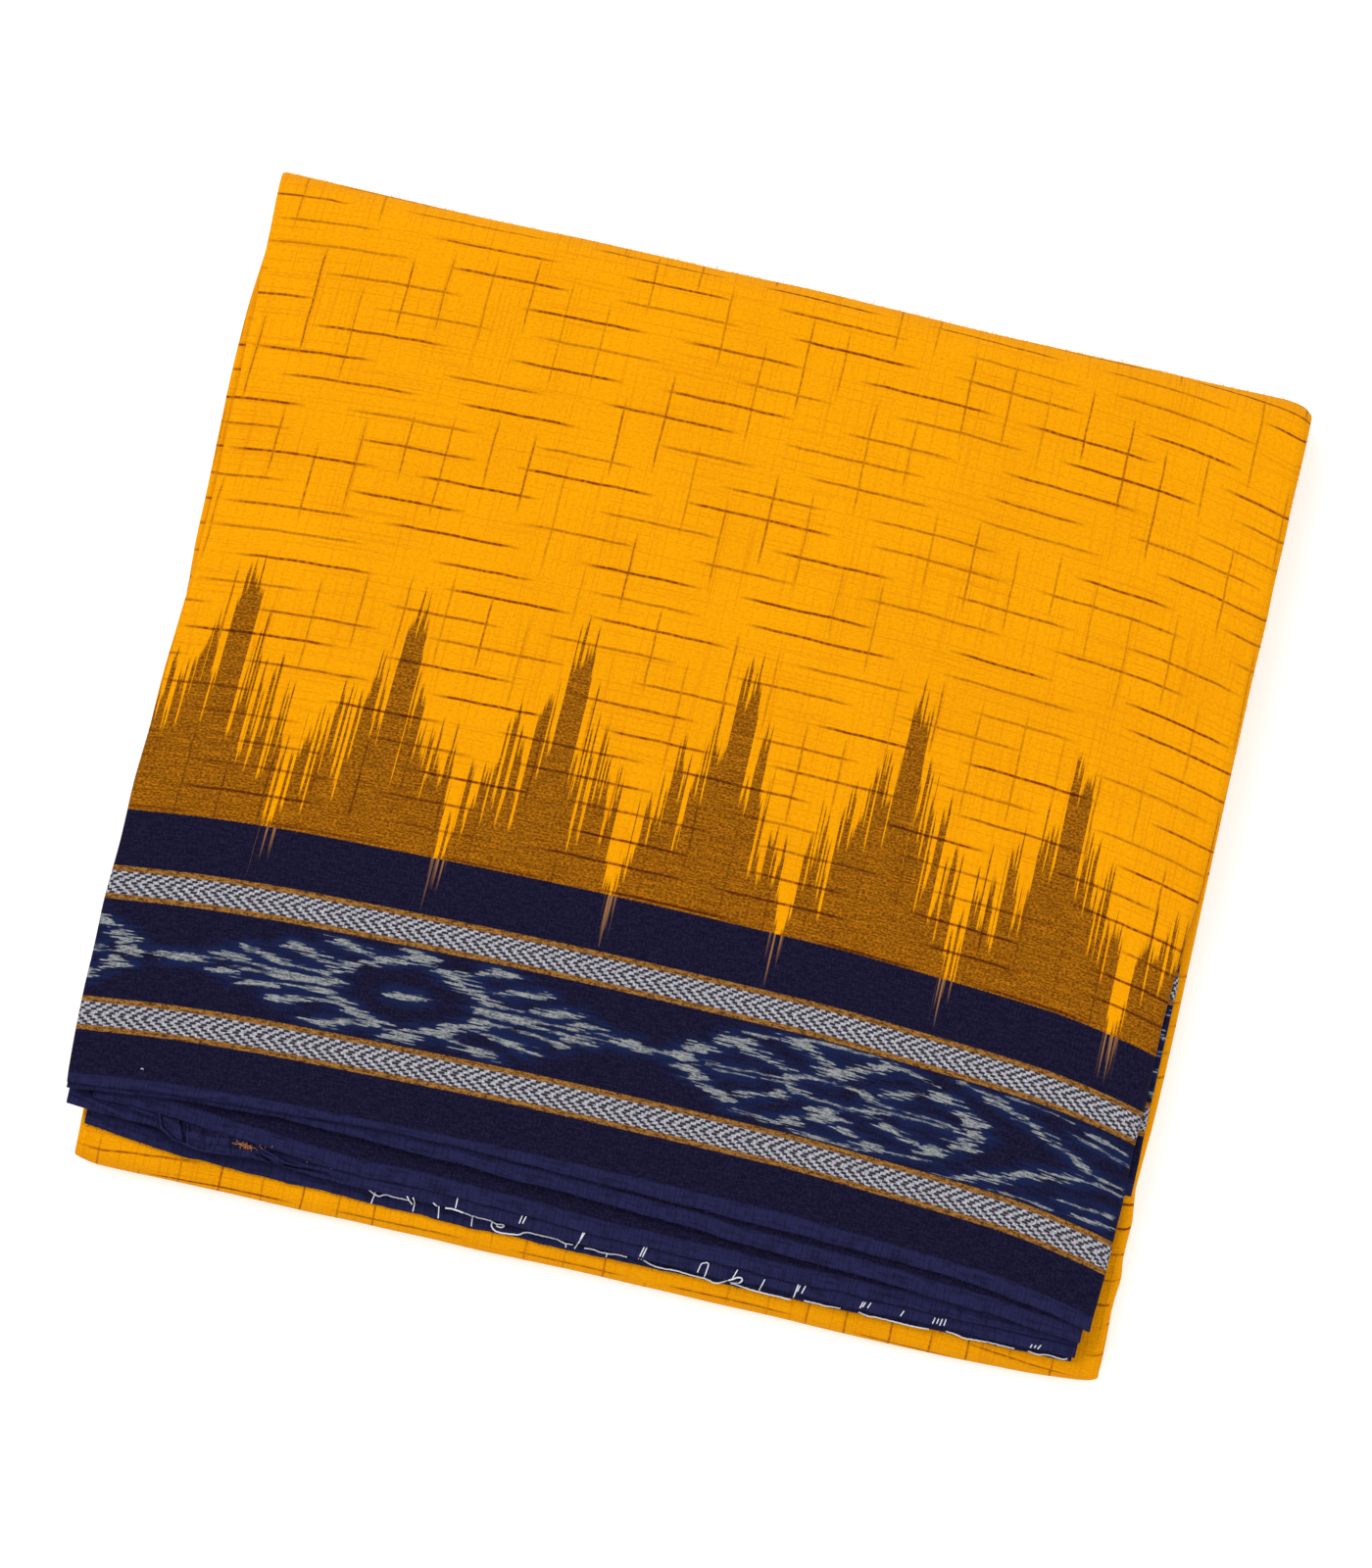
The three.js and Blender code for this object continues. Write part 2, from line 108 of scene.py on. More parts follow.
# %% Floor
bpy.ops.object.select_all(action="DESELECT")
bpy.ops.mesh.primitive_plane_add(size=8.0, location=(0.0, 0.0, 0.0))
floor = bpy.context.object
floor.name = "floor"
floor_finish = bpy.data.materials.new("pale_floor")
floor_finish.use_nodes = True
floor_shader = floor_finish.node_tree.nodes["Principled BSDF"]
floor_shader.inputs["Base Color"].default_value = (0.9, 0.9, 0.9, 1.0)
floor_shader.inputs["Roughness"].default_value = 0.9
floor_shader.inputs["Specular IOR Level"].default_value = 0.1
floor_shader.inputs["Emission Color"].default_value = (1.0, 1.0, 1.0, 1.0)
floor_shader.inputs["Emission Strength"].default_value = 0.22
floor.data.materials.append(floor_finish)
print("floor width in metres:", floor.dimensions.x)

# %% [markdown]
# Two square lamps stand high at opposite sides and point at the pack. The larger a lamp is,
# the softer its shadow, and cloth needs just enough shadow to show its folds.


# %% Soft lights
def soft_light(name, place, size, power):
    data = bpy.data.lights.new(name, "AREA")
    data.shape = "SQUARE"
    data.size = size
    data.energy = power
    light = bpy.data.objects.new(name, data)
    light.location = place
    light.rotation_euler = (-Vector(place)).to_track_quat("-Z", "Y").to_euler()
    bpy.context.collection.objects.link(light)


soft_light("key_light", (-1.1, 1.0, 2.1), 1.4, 40.0)
soft_light("fill_light", (1.5, -0.9, 2.3), 2.4, 26.0)
world = bpy.data.worlds.new("studio")
world.use_nodes = True
world.node_tree.nodes["Background"].inputs["Color"].default_value = (1.0, 1.0, 1.0, 1.0)
world.node_tree.nodes["Background"].inputs["Strength"].default_value = 0.84
bpy.context.scene.world = world
bpy.context.scene.view_settings.view_transform = "Standard"

# %% [markdown]
# ## The shape of the folded pile
# Every edge of the pack was written down as a few places along it. A smooth line goes through
# them: a monotone cubic, which never swings past its own points as a loose spline would.


# %% A smooth line through measured places
def through(rows, where):
    """Values at some places on the smooth line through rows of (place, value)."""
    places, values = np.array(rows, dtype=float).T
    run = np.diff(places)
    slope = np.diff(values) / run
    middle = np.where(slope[1:] * slope[:-1] > 0, 2 * slope[1:] * slope[:-1], 0.0)
    middle = middle / np.where(middle != 0, slope[1:] + slope[:-1], 1.0)
    tangent = np.concatenate([[slope[0]], middle, [slope[-1]]])
    where = np.asarray(where, dtype=float)
    k = np.clip(np.searchsorted(places, where) - 1, 0, len(run) - 1)
    t = (where - places[k]) / run[k]
    inside = np.clip(t, 0.0, 1.0)
    t2, t3 = inside**2, inside**3
    value = (
        (2 * t3 - 3 * t2 + 1) * values[k]
        + (t3 - 2 * t2 + inside) * run[k] * tangent[k]
        + (3 * t2 - 2 * t3) * values[k + 1]
        + (t3 - t2) * run[k] * tangent[k + 1]
    )
    beyond = (t - inside) * run[k]
    return value + beyond * np.where(t < 0, tangent[0], tangent[-1])


# %% [markdown]
# Ten edges make the outline: the selvedges in steps, the folds at the front and the back, and
# the sides of the upper and the lower half. A folded pile is never quite straight, and these
# small leans and waves are what makes it look like cloth and not like a box.

# %% The edges of the pack in millimetres
# Edges that run along X, as (x, y)
TOP_SELVEDGE = [(-161, -128), (-130, -125), (-100, -123.5), (-60, -121.8), (0, -123.4),
                (50, -125.3), (100, -127.5), (130, -131), (152, -135.5)]
SECOND_SELVEDGE = [(-160, -129.2), (-130, -126.4), (-100, -125), (-60, -126.2), (0, -129),
                   (50, -132), (100, -134.8), (148, -139)]
THIRD_SELVEDGE = [(-159, -134.2), (-130, -135), (-100, -138), (-75, -139.8), (-45, -140.2),
                  (0, -142.3), (60, -143.2), (148, -144)]
FOURTH_SELVEDGE = [(-153, -139.3), (-120, -142.3), (-50, -144.2), (0, -145), (100, -144.9),
                   (148, -145.3)]
MID_FOLD_EDGE = [(-154, -149), (-146, -150.3), (0, -150.9), (60, -151.5), (100, -152.1),
                 (130, -151.7), (150, -150.6), (157, -149.6)]
BACK_EDGE = [(-156, 149.5), (-100, 149), (0, 149), (50, 148), (100, 147.5), (149, 147.2),
             (155, 146.2), (158, 144.6)]
# Edges that run along Y, as (y, x)
UPPER_LEFT = [(-134, -159), (-127, -160.5), (-100, -161.5), (-45, -160), (0, -158),
              (15, -157.2), (30, -156), (60, -155.3), (100, -155.3), (149, -156)]
UPPER_RIGHT = [(-135, 151.8), (-105, 152.8), (-60, 153.3), (-30, 153.6), (-12, 155.2),
               (10, 156.6), (100, 157.5), (149, 158)]
LOWER_LEFT = [(-149, -153.9), (-100, -154.4), (0, -155), (149, -156)]
LOWER_RIGHT = [(-149, 157.4), (-137, 157.5), (-128, 157.0), (-118, 157.5), (-112, 156.9),
               (-103, 157.4), (-90, 156.2), (-75, 157.1), (-50, 157.5), (-20, 157.4),
               (149, 157.5)]
# How far an inner fold peeks out at the left, as (y, out)
LEFT_PEEK = [(12, -0.6), (19, 0.2), (40, 2.1), (70, 2.6), (105, 2.2), (126, 0.3), (133, -0.6)]
# How far the lines woven across the cloth bend away from straight, as (x, bend)
BOW = [(-160, 5.7), (-130, 2.7), (-100, 1.2), (-25, 0), (50, 1), (80, 2.7), (120, 5.7),
       (145, 10), (153, 12)]
print("places along the top selvedge:", len(TOP_SELVEDGE))

# %% [markdown]
# One pile of panels is 7 mm high, and the whole pack is four of them. Walking along the pile
# from the top selvedge, it goes back over the top, round the back fold, under the pack, round
# the mid fold, back between the legs, and out to the other selvedge. `pile_point` says where
# a point of that walk lies: `stretch` counts the seven parts of the walk, `x` is the place
# across the pack, and `depth` is how far inwards from the outermost panel.

# %% The walk along the pile
PACK_HEIGHT = 28.0
LEG = 14.0  # height of half the pack
PILE = 7.0
BACK_REACH = 11.5  # how far the back fold stands out
MID_REACH = 6.3  # the same for the mid fold
DROOP = 2.6  # how much lower the top lies at its front edge
DROOP_LENGTH = 60.0  # over which length it comes down
PRESSED = 0.35  # how much less far out the inner panels of a pressed fold reach
TOP, BACK, UNDER, MID, BETWEEN, INNER_BACK, UPPER = range(7)
UNDER_LENGTH = 281.0  # cloth under the pack, and below that round each fold
BACK_ARC = 40.2
MID_ARC = 20.9
INNER_ARC = 10.0


def ease(t):
    t = np.clip(t, 0.0, 1.0)
    return t * t * (3.0 - 2.0 * t)


def top_height(x, y):
    """Height of the top: a little lower towards the front edge."""
    return PACK_HEIGHT - DROOP * (1.0 - ease((y - through(TOP_SELVEDGE, x)) / DROOP_LENGTH))


def back_start(x):
    return through(BACK_EDGE, x) - BACK_REACH


def mid_start(x):
    return through(MID_FOLD_EDGE, x) + MID_REACH


def pile_point(stretch, t, x, depth):
    """y and z of a point on the pile, for arrays t, x and depth."""
    front = through(TOP_SELVEDGE, x)
    back = back_start(x)
    middle = mid_start(x)
    if stretch == TOP:
        y = front + t * (back - front)
        return y, LEG + (top_height(x, y) - LEG) * (1.0 - depth / LEG)
    if stretch == BACK:
        share, angle = (LEG - depth) / LEG, math.pi * (0.5 - t)
        reach = BACK_REACH * (1.0 - PRESSED * depth / LEG)
        return back + reach * np.cos(angle), LEG * (1.0 + share * np.sin(angle))
    if stretch == UNDER:
        return back + t * (middle - back), depth + 0.0 * x
    if stretch == MID:
        share, angle = (PILE - depth) / PILE, math.pi * (t - 0.5)
        reach = MID_REACH * (1.0 - PRESSED * depth / PILE)
        return middle - reach * np.cos(angle), PILE * (1.0 + share * np.sin(angle))
    if stretch == BETWEEN:
        return middle + t * (back - middle), LEG - depth + 0.0 * x
    if stretch == INNER_BACK:
        share, angle = depth / LEG, math.pi * (t - 0.5)
        return back + BACK_REACH * share * np.cos(angle), LEG * (1.0 + share * np.sin(angle))
    y = back + t * (front - back)
    return y, LEG + (top_height(x, y) - LEG) * depth / LEG


def side_edges(stretch, t, y):
    """Where the left and the right edge of the pack lie at y."""
    upper = {TOP: 1.0, UPPER: 1.0, BACK: 1.0 - t, INNER_BACK: t}.get(stretch, 0.0)
    left = upper * through(UPPER_LEFT, y) + (1.0 - upper) * through(LOWER_LEFT, y)
    right = upper * through(UPPER_RIGHT, y) + (1.0 - upper) * through(LOWER_RIGHT, y)
    return left, right


print("height at the front and further back:", top_height(0.0, -123.4), top_height(0.0, 0.0))

# %% [markdown]
# The cloth's own coordinates are kept beside each point, as a UV map in millimetres of cloth:
# u along the saree's length and v across its width. All weaving and dyeing is drawn in them,
# so it bends with the cloth. The threads lean a little at the left, and the woven lines bow.


# %% The cloth's own coordinates
def bow(x):
    return through(BOW, np.clip(x, -162, 156))


def lean(x):
    return np.interp(x, [-160, -87, -44, 0, 148], [0.062, 0.05, 0.03, 0.012, -0.01])


def cloth_v(stretch, t, x, y):
    """Place across the saree's width, counted on along the walk."""
    back = back_start(x) + bow(x)
    under = back + BACK_ARC
    mid = under + UNDER_LENGTH
    if stretch == TOP or stretch == UPPER:
        return y + bow(x)
    if stretch == BACK:
        return back + BACK_ARC * t
    if stretch == UNDER:
        return under + UNDER_LENGTH * t
    if stretch == MID:
        return mid + MID_ARC * t
    if stretch == BETWEEN:
        return mid + MID_ARC + UNDER_LENGTH * t
    return back + INNER_ARC * (1.0 - t)


# %% [markdown]
# Worn cloth is never quite flat. Broad soft swells come from noise, and the main creases are
# listed one by one, each a shallow trough or ridge with its own length, width and height.

# %% Swells and creases
# from (u, v) to (u, v), width, height
CREASES = [
    (-149, 152, -143, 140, 1.6, -0.7),
    (-132, 150, -127, 132, 1.3, -0.5),
    (-128, 151, -122, 130, 1.8, 0.4),
    (-157, 60, -147, 96, 2.4, -0.35),
    (-40, 148, 30, 141, 3.0, 0.35),
    (60, 146, 128, 143, 2.4, 0.4),
    (118, 150, 150, 96, 3.2, -0.35),
    (-120, -48, 40, -52, 4.0, 0.3),
    (-110, -112, -20, -114, 3.0, -0.3),
    (20, -112, 140, -117, 3.2, 0.32),
    (-60, 20, -20, 120, 5.0, -0.25),
    (70, -20, 96, 92, 5.0, 0.25),
    (-130, 190, -40, 262, 3.5, -0.6),
    (10, 240, 120, 210, 3.0, 0.5),
    (-90, 330, 60, 352, 4.0, -0.5),
    (-140, 440, 20, 447, 2.0, 0.35),
    (60, 452, 150, 446, 2.0, -0.3),
    (-120, 487, 40, 484, 2.2, 0.35),
    (30, 500, 150, 496, 2.5, -0.35),
]


def crease_relief(u, v):
    """Height of the creases at each place: a soft trough or ridge with faded ends."""
    total = np.zeros_like(u)
    for u0, v0, u1, v1, width, height in CREASES:
        run = math.hypot(u1 - u0, v1 - v0)
        along = ((u - u0) * (u1 - u0) + (v - v0) * (v1 - v0)) / run
        aside = ((u - u0) * (v1 - v0) - (v - v0) * (u1 - u0)) / run
        fade = ease(along / (0.3 * run)) * ease((run - along) / (0.3 * run))
        total += height * fade * np.exp(-((aside / width) ** 2))
    return total


def swell(u, v, seed):
    """Broad soft swells, and smaller ones on them, in millimetres."""
    flat_u, flat_v = np.ravel(u), np.ravel(v)
    values = [
        0.32 * noise.noise((a / 42.0, b / 50.0, seed))
        + 0.16 * noise.noise((a / 15.0, b / 19.0, seed + 3.7))
        for a, b in zip(flat_u, flat_v)
    ]
    return np.array(values).reshape(np.shape(u))


def ripple(along, size, seed):
    """A wave along one way, as long as size, from about -1 to 1."""
    values = [noise.noise((a / size, seed, 0.5)) for a in np.ravel(along)]
    return np.array(values).reshape(np.shape(along))


print("creases placed by hand:", len(CREASES))

# %% [markdown]
# ## Turning rows of points into cloth
# A sheet is a grid: one row after another of points across the cloth. The mesh is written
# straight from that grid, with the cloth's coordinates as its UV map, and a thin Solidify
# gives it two faces and a rim. Faces of the border get the border's finish.

# %% A cloth mesh from a grid
CLOTH = 0.00035
BORDER_FROM = -55.0  # faces further out than this v have the border's finish


def cloth_piece(name, points, cloth, finishes, thickness=CLOTH, worn=None):
    rows, columns = points.shape[:2]
    index = np.arange(rows * columns).reshape(rows, columns)
    corners = np.stack([index[:-1, :-1], index[:-1, 1:], index[1:, 1:], index[1:, :-1]], -1)
    corners = corners.reshape(-1, 4)
    mesh = bpy.data.meshes.new(name)
    mesh.from_pydata(in_frame(points).reshape(-1, 3).tolist(), [], corners.tolist())
    layer = mesh.uv_layers.new(name="cloth")
    flat_cloth = cloth.reshape(-1, 2)
    layer.data.foreach_set("uv", (flat_cloth[corners.ravel()] * MM).ravel())
    # a second UV map carries painted light: a painted highlight where positive, painted shade where
    # negative
    painted_light_uv = np.zeros((rows * columns, 2))
    if worn is not None:
        painted_light_uv[:, 0] = worn.ravel()
    mesh.uv_layers.new(name="worn").data.foreach_set("uv", painted_light_uv[corners.ravel()].ravel())
    mesh.uv_layers.active = mesh.uv_layers["cloth"]
    for finish in finishes:
        mesh.materials.append(finish)
    if len(finishes) > 1:
        face_v = flat_cloth[corners][:, :, 1].mean(axis=1)
        mesh.polygons.foreach_set("material_index", (face_v < BORDER_FROM).astype(int))
    mesh.polygons.foreach_set("use_smooth", np.ones(len(corners), dtype=bool))
    mesh.update()
    piece = bpy.data.objects.new(name, mesh)
    bpy.context.collection.objects.link(piece)
    wall = piece.modifiers.new("wall", "SOLIDIFY")
    wall.thickness = thickness
    wall.offset = -1.0
    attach(piece, "root")
    area = sum(face.area for face in mesh.polygons)
    print(name, "faces", len(corners), "area m2", round(area, 4))
    return piece


# %% [markdown]
# ## Finishes
# The pattern is dyed into the threads before weaving, so its edges run out in soft points
# along the threads. Each finish is built from plain sums on the cloth's coordinates. A small
# helper lets those sums be written as ordinary arithmetic while it places the Math nodes.


# %% Arithmetic that places nodes
class Sum:
    """A value that varies over the cloth, as an output of a node."""

    def __init__(self, tree, socket):
        self.tree, self.socket = tree, socket

    def node(self, operation, *others):
        math_node = self.tree.nodes.new("ShaderNodeMath")
        math_node.operation = operation
        for slot, value in zip(math_node.inputs, (self, *others)):
            if isinstance(value, Sum):
                self.tree.links.new(value.socket, slot)
            else:
                slot.default_value = value
        return Sum(self.tree, math_node.outputs[0])

    def __add__(self, other):
        return self.node("ADD", other)

    def __sub__(self, other):
        return self.node("SUBTRACT", other)

    def __mul__(self, other):
        return self.node("MULTIPLY", other)

    def __truediv__(self, other):
        return self.node("DIVIDE", other)

    def __abs__(self):
        return self.node("ABSOLUTE")

    def floor(self):
        return self.node("FLOOR")

    def below(self, other):
        return self.node("MINIMUM", other)

    def above(self, other):
        return self.node("MAXIMUM", other)

    def wrap(self, high, low):
        return self.node("WRAP", high, low)

    def over(self, edge, soft):
        """0 below the edge and 1 above it, with a ramp as wide as soft."""
        ramp = self.node("MULTIPLY_ADD", 1.0 / soft, 0.5 - edge / soft)
        ramp.socket.node.use_clamp = True
        return ramp

    def under(self, edge, soft):
        ramp = self.node("MULTIPLY_ADD", -1.0 / soft, 0.5 + edge / soft)
        ramp.socket.node.use_clamp = True
        return ramp

    def inside(self, low, high, soft):
        return abs(self - (low + high) / 2).under((high - low) / 2, soft)


class Finish:
    """One cloth finish: its material, its cloth coordinates and the nodes drawn so far."""

    ROUGHNESS = 0.9
    SPECULAR = 0.03
    SHEEN = 0.015
    SHEEN_ROUGHNESS = 0.5
    THREAD_RELIEF = 0.00035

    def __init__(self, name, sheen_tint):
        self.material = bpy.data.materials.new(name)
        self.material.use_nodes = True
        self.tree = self.material.node_tree
        self.shader = self.tree.nodes["Principled BSDF"]
        self.shader.inputs["Roughness"].default_value = self.ROUGHNESS
        self.shader.inputs["Specular IOR Level"].default_value = self.SPECULAR
        self.shader.inputs["Sheen Weight"].default_value = self.SHEEN
        self.shader.inputs["Sheen Roughness"].default_value = self.SHEEN_ROUGHNESS
        self.shader.inputs["Sheen Tint"].default_value = (*sheen_tint, 1.0)
        self.u, self.v = [place * (1.0 / MM) for place in self.read_map("cloth")]

    def read_map(self, name):
        source = self.tree.nodes.new("ShaderNodeUVMap")
        source.uv_map = name
        split = self.tree.nodes.new("ShaderNodeSeparateXYZ")
        self.tree.links.new(source.outputs[0], split.inputs[0])
        return [Sum(self.tree, socket) for socket in split.outputs[:2]]

    def pair(self, a, b):
        join = self.tree.nodes.new("ShaderNodeCombineXYZ")
        for slot, value in zip(join.inputs, (a, b)):
            if isinstance(value, Sum):
                self.tree.links.new(value.socket, slot)
            else:
                slot.default_value = value
        return join.outputs[0]

    def chance(self, a, b):
        """Three even random numbers for each pair of whole numbers."""
        node = self.tree.nodes.new("ShaderNodeTexWhiteNoise")
        node.noise_dimensions = "2D"
        self.tree.links.new(self.pair(a, b), node.inputs["Vector"])
        split = self.tree.nodes.new("ShaderNodeSeparateColor")
        self.tree.links.new(node.outputs["Color"], split.inputs[0])
        return [Sum(self.tree, socket) for socket in split.outputs[:3]]

    def cloud(self, a, b, detail=1.0):
        """Smooth noise from 0 to 1 over the pair of values."""
        node = self.tree.nodes.new("ShaderNodeTexNoise")
        node.noise_dimensions = "2D"
        node.inputs["Scale"].default_value = 1.0
        node.inputs["Detail"].default_value = detail
        self.tree.links.new(self.pair(a, b), node.inputs["Vector"])
        return Sum(self.tree, node.outputs[0])

    def chart(self, place, values):
        """Looks up a short list of numbers from 0 to 1 by a place from 0 to 1."""
        node = self.tree.nodes.new("ShaderNodeValToRGB")
        ramp = node.color_ramp
        ramp.interpolation = "CONSTANT"
        while len(ramp.elements) < len(values):
            ramp.elements.new(0.5)
        starts = [k / len(values) for k in range(len(values))]
        for k in reversed(range(len(values))):
            ramp.elements[k].position = starts[k]
        for k, value in enumerate(values):
            ramp.elements[k].color = (value, value, value, 1.0)
        self.tree.links.new(place.socket, node.inputs[0])
        split = self.tree.nodes.new("ShaderNodeSeparateColor")
        self.tree.links.new(node.outputs[0], split.inputs[0])
        return Sum(self.tree, split.outputs[0])

    def blue_ground(self):
        """The deep blue cloth: fine uneven threads both ways."""
        u, v = self.u, self.v
        threads = self.cloud(u / 4.0, v / 0.5) + self.cloud(u / 0.6, v / 1.5)
        return self.mix((self.cloud(u / 0.9, v / 0.5) + threads).over(1.66, 0.8), NAVY, NAVY_LIGHT)

    def mix(self, share, a, b):
        """Colour a, turning into colour b as the share goes from 0 to 1."""
        node = self.tree.nodes.new("ShaderNodeMix")
        node.data_type = "RGBA"
        for slot, value in ((node.inputs[0], share), (node.inputs[6], a), (node.inputs[7], b)):
            if isinstance(value, Sum):
                self.tree.links.new(value.socket, slot)
            elif isinstance(value, bpy.types.NodeSocket):
                self.tree.links.new(value, slot)
            elif isinstance(value, tuple):
                slot.default_value = (*value, 1.0)
            else:
                slot.default_value = value
        return node.outputs[2]

    def weave(self, colour, strength):
        """Colours the shader, and raises the threads a little."""
        self.tree.links.new(colour, self.shader.inputs["Base Color"])
        along = self.cloud(self.u / 1.6, self.v / 0.5)
        across = self.cloud(self.u / 0.5, self.v / 1.6)
        bump = self.tree.nodes.new("ShaderNodeBump")
        bump.inputs["Strength"].default_value = strength
        bump.inputs["Distance"].default_value = self.THREAD_RELIEF
        self.tree.links.new((along + across).socket, bump.inputs["Height"])
        self.tree.links.new(bump.outputs[0], self.shader.inputs["Normal"])
        return self.material


# %% [markdown]
# ### The amber field
# The field carries broken dashes both ways. Along the length they lie in rows 7.8 mm apart,
# each about 30 mm long, one every 55 mm. Across it they lie on lines 12.7 mm apart, one every
# 48.5 mm. Where each row starts was noted in a small chart, and chance varies each
# dash's length and depth of dye. The comb-like teeth above the border are dyed the same way,
# so each group of threads ends at its own height.

# %% Charts of the dashes and the teeth
ROW_STEP, ROW_REPEAT, ROWS_FROM = 7.8, 55.0, -42.3
ROW_STARTS = [5, 39, -16, -11, 28, 18, -12, -25, -8, 23, -15, 31, 26, 6, 28, 6, 4, -21, 25,
              -15, 0, -12, 18, 13]
LINE_STEP, LINE_REPEAT, LINES_FROM = 12.7, 48.5, -147.2
LINE_STARTS = [23, 13, 23, 27, 28, 31, 27, 22, 43, 5, 34, 20, 31, 29, 10, 8, 32, 32, 28, 30,
               26, 20, 23, 1]
TOOTH_REPEAT, TOOTH_AT = 51.4, 12.9
TOOTH_RIGHT = 0.445  # share of a tooth that lies right of its tip
TEETH_FOOT = -40.0
FIELD_END = -39.3  # where the amber field ends and the blue begins
THREAD, THREAD_GROUP = 0.5, 0.85  # width of a thread, and of threads that were dyed together
# height of the dye above the foot for each step outwards from a tooth's middle
TOOTH_STEPS = [69, 70, 69, 67, 40, 43, 51, 53, 52, 50, 49, 38, 37, 34, 38, 42, 44, 43, 42, 30,
               28, 30, 29, 33, 32, 30, 26, 8, 4, 0]
AMBER = (0.715, 0.297, 0.0005)
AMBER_DEEP = (0.65, 0.252, 0.0005)
AMBER_THREAD = (0.52, 0.15, 0.001)
DASH = (0.17, 0.030, 0.002)
DASH_ON_BROWN = (0.062, 0.011, 0.001)
TIP = (0.26, 0.120, 0.045)
TEMPLE_DARK = (0.11, 0.034, 0.0015)
TEMPLE_LIGHT = (0.42, 0.145, 0.003)
NAVY = (0.0042, 0.0036, 0.0145)
NAVY_LIGHT = (0.0120, 0.0102, 0.0315)

# %% [markdown]
# Each dash fades at both ends, since dye creeps along a thread, and wanders a little, since the
# dyed stretches of neighbouring threads never line up. Every dash first asks which row it is
# in, and which one of that row it is, and draws its own chance numbers from those two.


# %% The dashes
def noted(finish, number, starts, low, span):
    """Looks a whole number up in a short list of starts, over and over."""
    place = ((number + 0.5) / len(starts)).wrap(1.0, 0.0)
    return finish.chart(place, [(s - low) / span for s in starts]) * span + low


def length_dashes(finish):
    """The dashes that run along the saree's length."""
    u, v = finish.u, finish.v
    row = ((v - ROWS_FROM) / ROW_STEP).floor()
    along = (u - noted(finish, row, ROW_STARTS, -32.0, 64.0)) / ROW_REPEAT
    cell = (along + 0.5).floor()
    a, b, c = finish.chance(row, cell)
    offset = abs((along - cell) * ROW_REPEAT + (a * 8.0 - 4.0))
    height = (row + 0.5) * ROW_STEP + (b * 1.0 + ROWS_FROM - 0.5)
    wander = finish.cloud(u / 9.0, row * 3.3) * 0.5 - 0.25
    line = abs(v - height + wander).under(0.38, 0.3)
    ends = (offset * -1.0 + (b * 8.0 + 14.0)).over(1.0, 7.0)
    broken = finish.cloud(u / 1.3, row * 7.1).over(0.45, 0.4)
    return line * ends * (broken * 0.4 + 0.6) * (c * 0.6 + 0.55)


def cross_dashes(finish):
    """The dashes that run across its width."""
    u, v = finish.u, finish.v
    post = ((u - LINES_FROM) / LINE_STEP + 0.5).floor()
    down = (v - noted(finish, post, LINE_STARTS, 0.0, 50.0)) / LINE_REPEAT
    place = (down + 0.5).floor()
    a, b, c = finish.chance(post + 60.0, place)
    offset = abs((down - place) * LINE_REPEAT + (a * 7.0 - 3.5))
    wander = (finish.cloud(v / 12.0, post * 5.1) - 0.5) * 0.7
    aside = abs(u - (post * LINE_STEP + LINES_FROM) + (c * 1.6 - 0.8) + wander)
    ends = (offset * -1.0 + (a * 7.0 + 8.5)).over(0.0, 5.0)
    broken = finish.cloud(v / 1.2, post * 9.3).over(0.45, 0.4)
    return aside.under(0.3, 0.34) * ends * (broken * 0.45 + 0.5) * (b * 0.6 + 0.35)


# %% [markdown]
# A tooth is a bundle of threads, each dyed up to its own height. The chart gives the height for
# the distance from the tooth's tip, chance adds a ragged fringe, and some groups of threads
# stayed amber, which cuts slots into the tooth. Its tip lies a little right of the middle.


# %% The teeth
def teeth(finish):
    """How brown the teeth are at a place, and how amber the tips that run on below them."""
    u, v = finish.u, finish.v
    tooth = (u - TOOTH_AT) / TOOTH_REPEAT
    which = (tooth + 1.0 - TOOTH_RIGHT).floor()
    beside = tooth - which
    out = (beside / TOOTH_RIGHT).above(beside / (TOOTH_RIGHT - 1.0))
    step = finish.chart(out, [s / 100 for s in TOOTH_STEPS]) * 100.0
    # chance numbers for the thread, for its group of threads and for the whole tooth
    n1, n2, _ = finish.chance((u / THREAD).floor(), 7.0)
    g1, g2, _ = finish.chance((u / THREAD_GROUP).floor(), 3.0)
    w1, _, _ = finish.chance(which, 11.0)
    # where the brown ends: the chart's step, made ragged, with some threads left short
    fringe = (n1 - 0.62).above(0.0) * 30.0 * step.over(14.0, 12.0)
    tall = step * (w1 * 0.14 + 0.93) + TEETH_FOOT
    top = tall + (n2 * 6.0 - 3.0) + (g1 * 6.0 - 3.0) + fringe
    top = top - n1.under(0.20, 0.01) * out.over(0.12, 0.02) * (n2 * 20.0 + 3.0)
    # in a slot it ends low down
    slot = g2.over(0.79, 0.02) * out.over(0.29, 0.02)
    slotted = (g1 * -22.0 - 11.0) + (n2 * 7.0)
    top = top + (slotted - top) * slot
    # between two teeth some threads stay amber far into the blue
    tip = (n2 * 12.0 + g2 * 4.0) - 56.5
    tips = out.over(0.905, 0.01) * (v - tip).over(3.0, 9.0) * n1.over(0.66, 0.1) * 0.9
    return (top - v).over(0.0, 3.0), tips


# %% [markdown]
# The finish starts with the plain amber cloth, lays the teeth and the dashes over it, and ends
# with the blue ground below the field, which the amber tips run into.


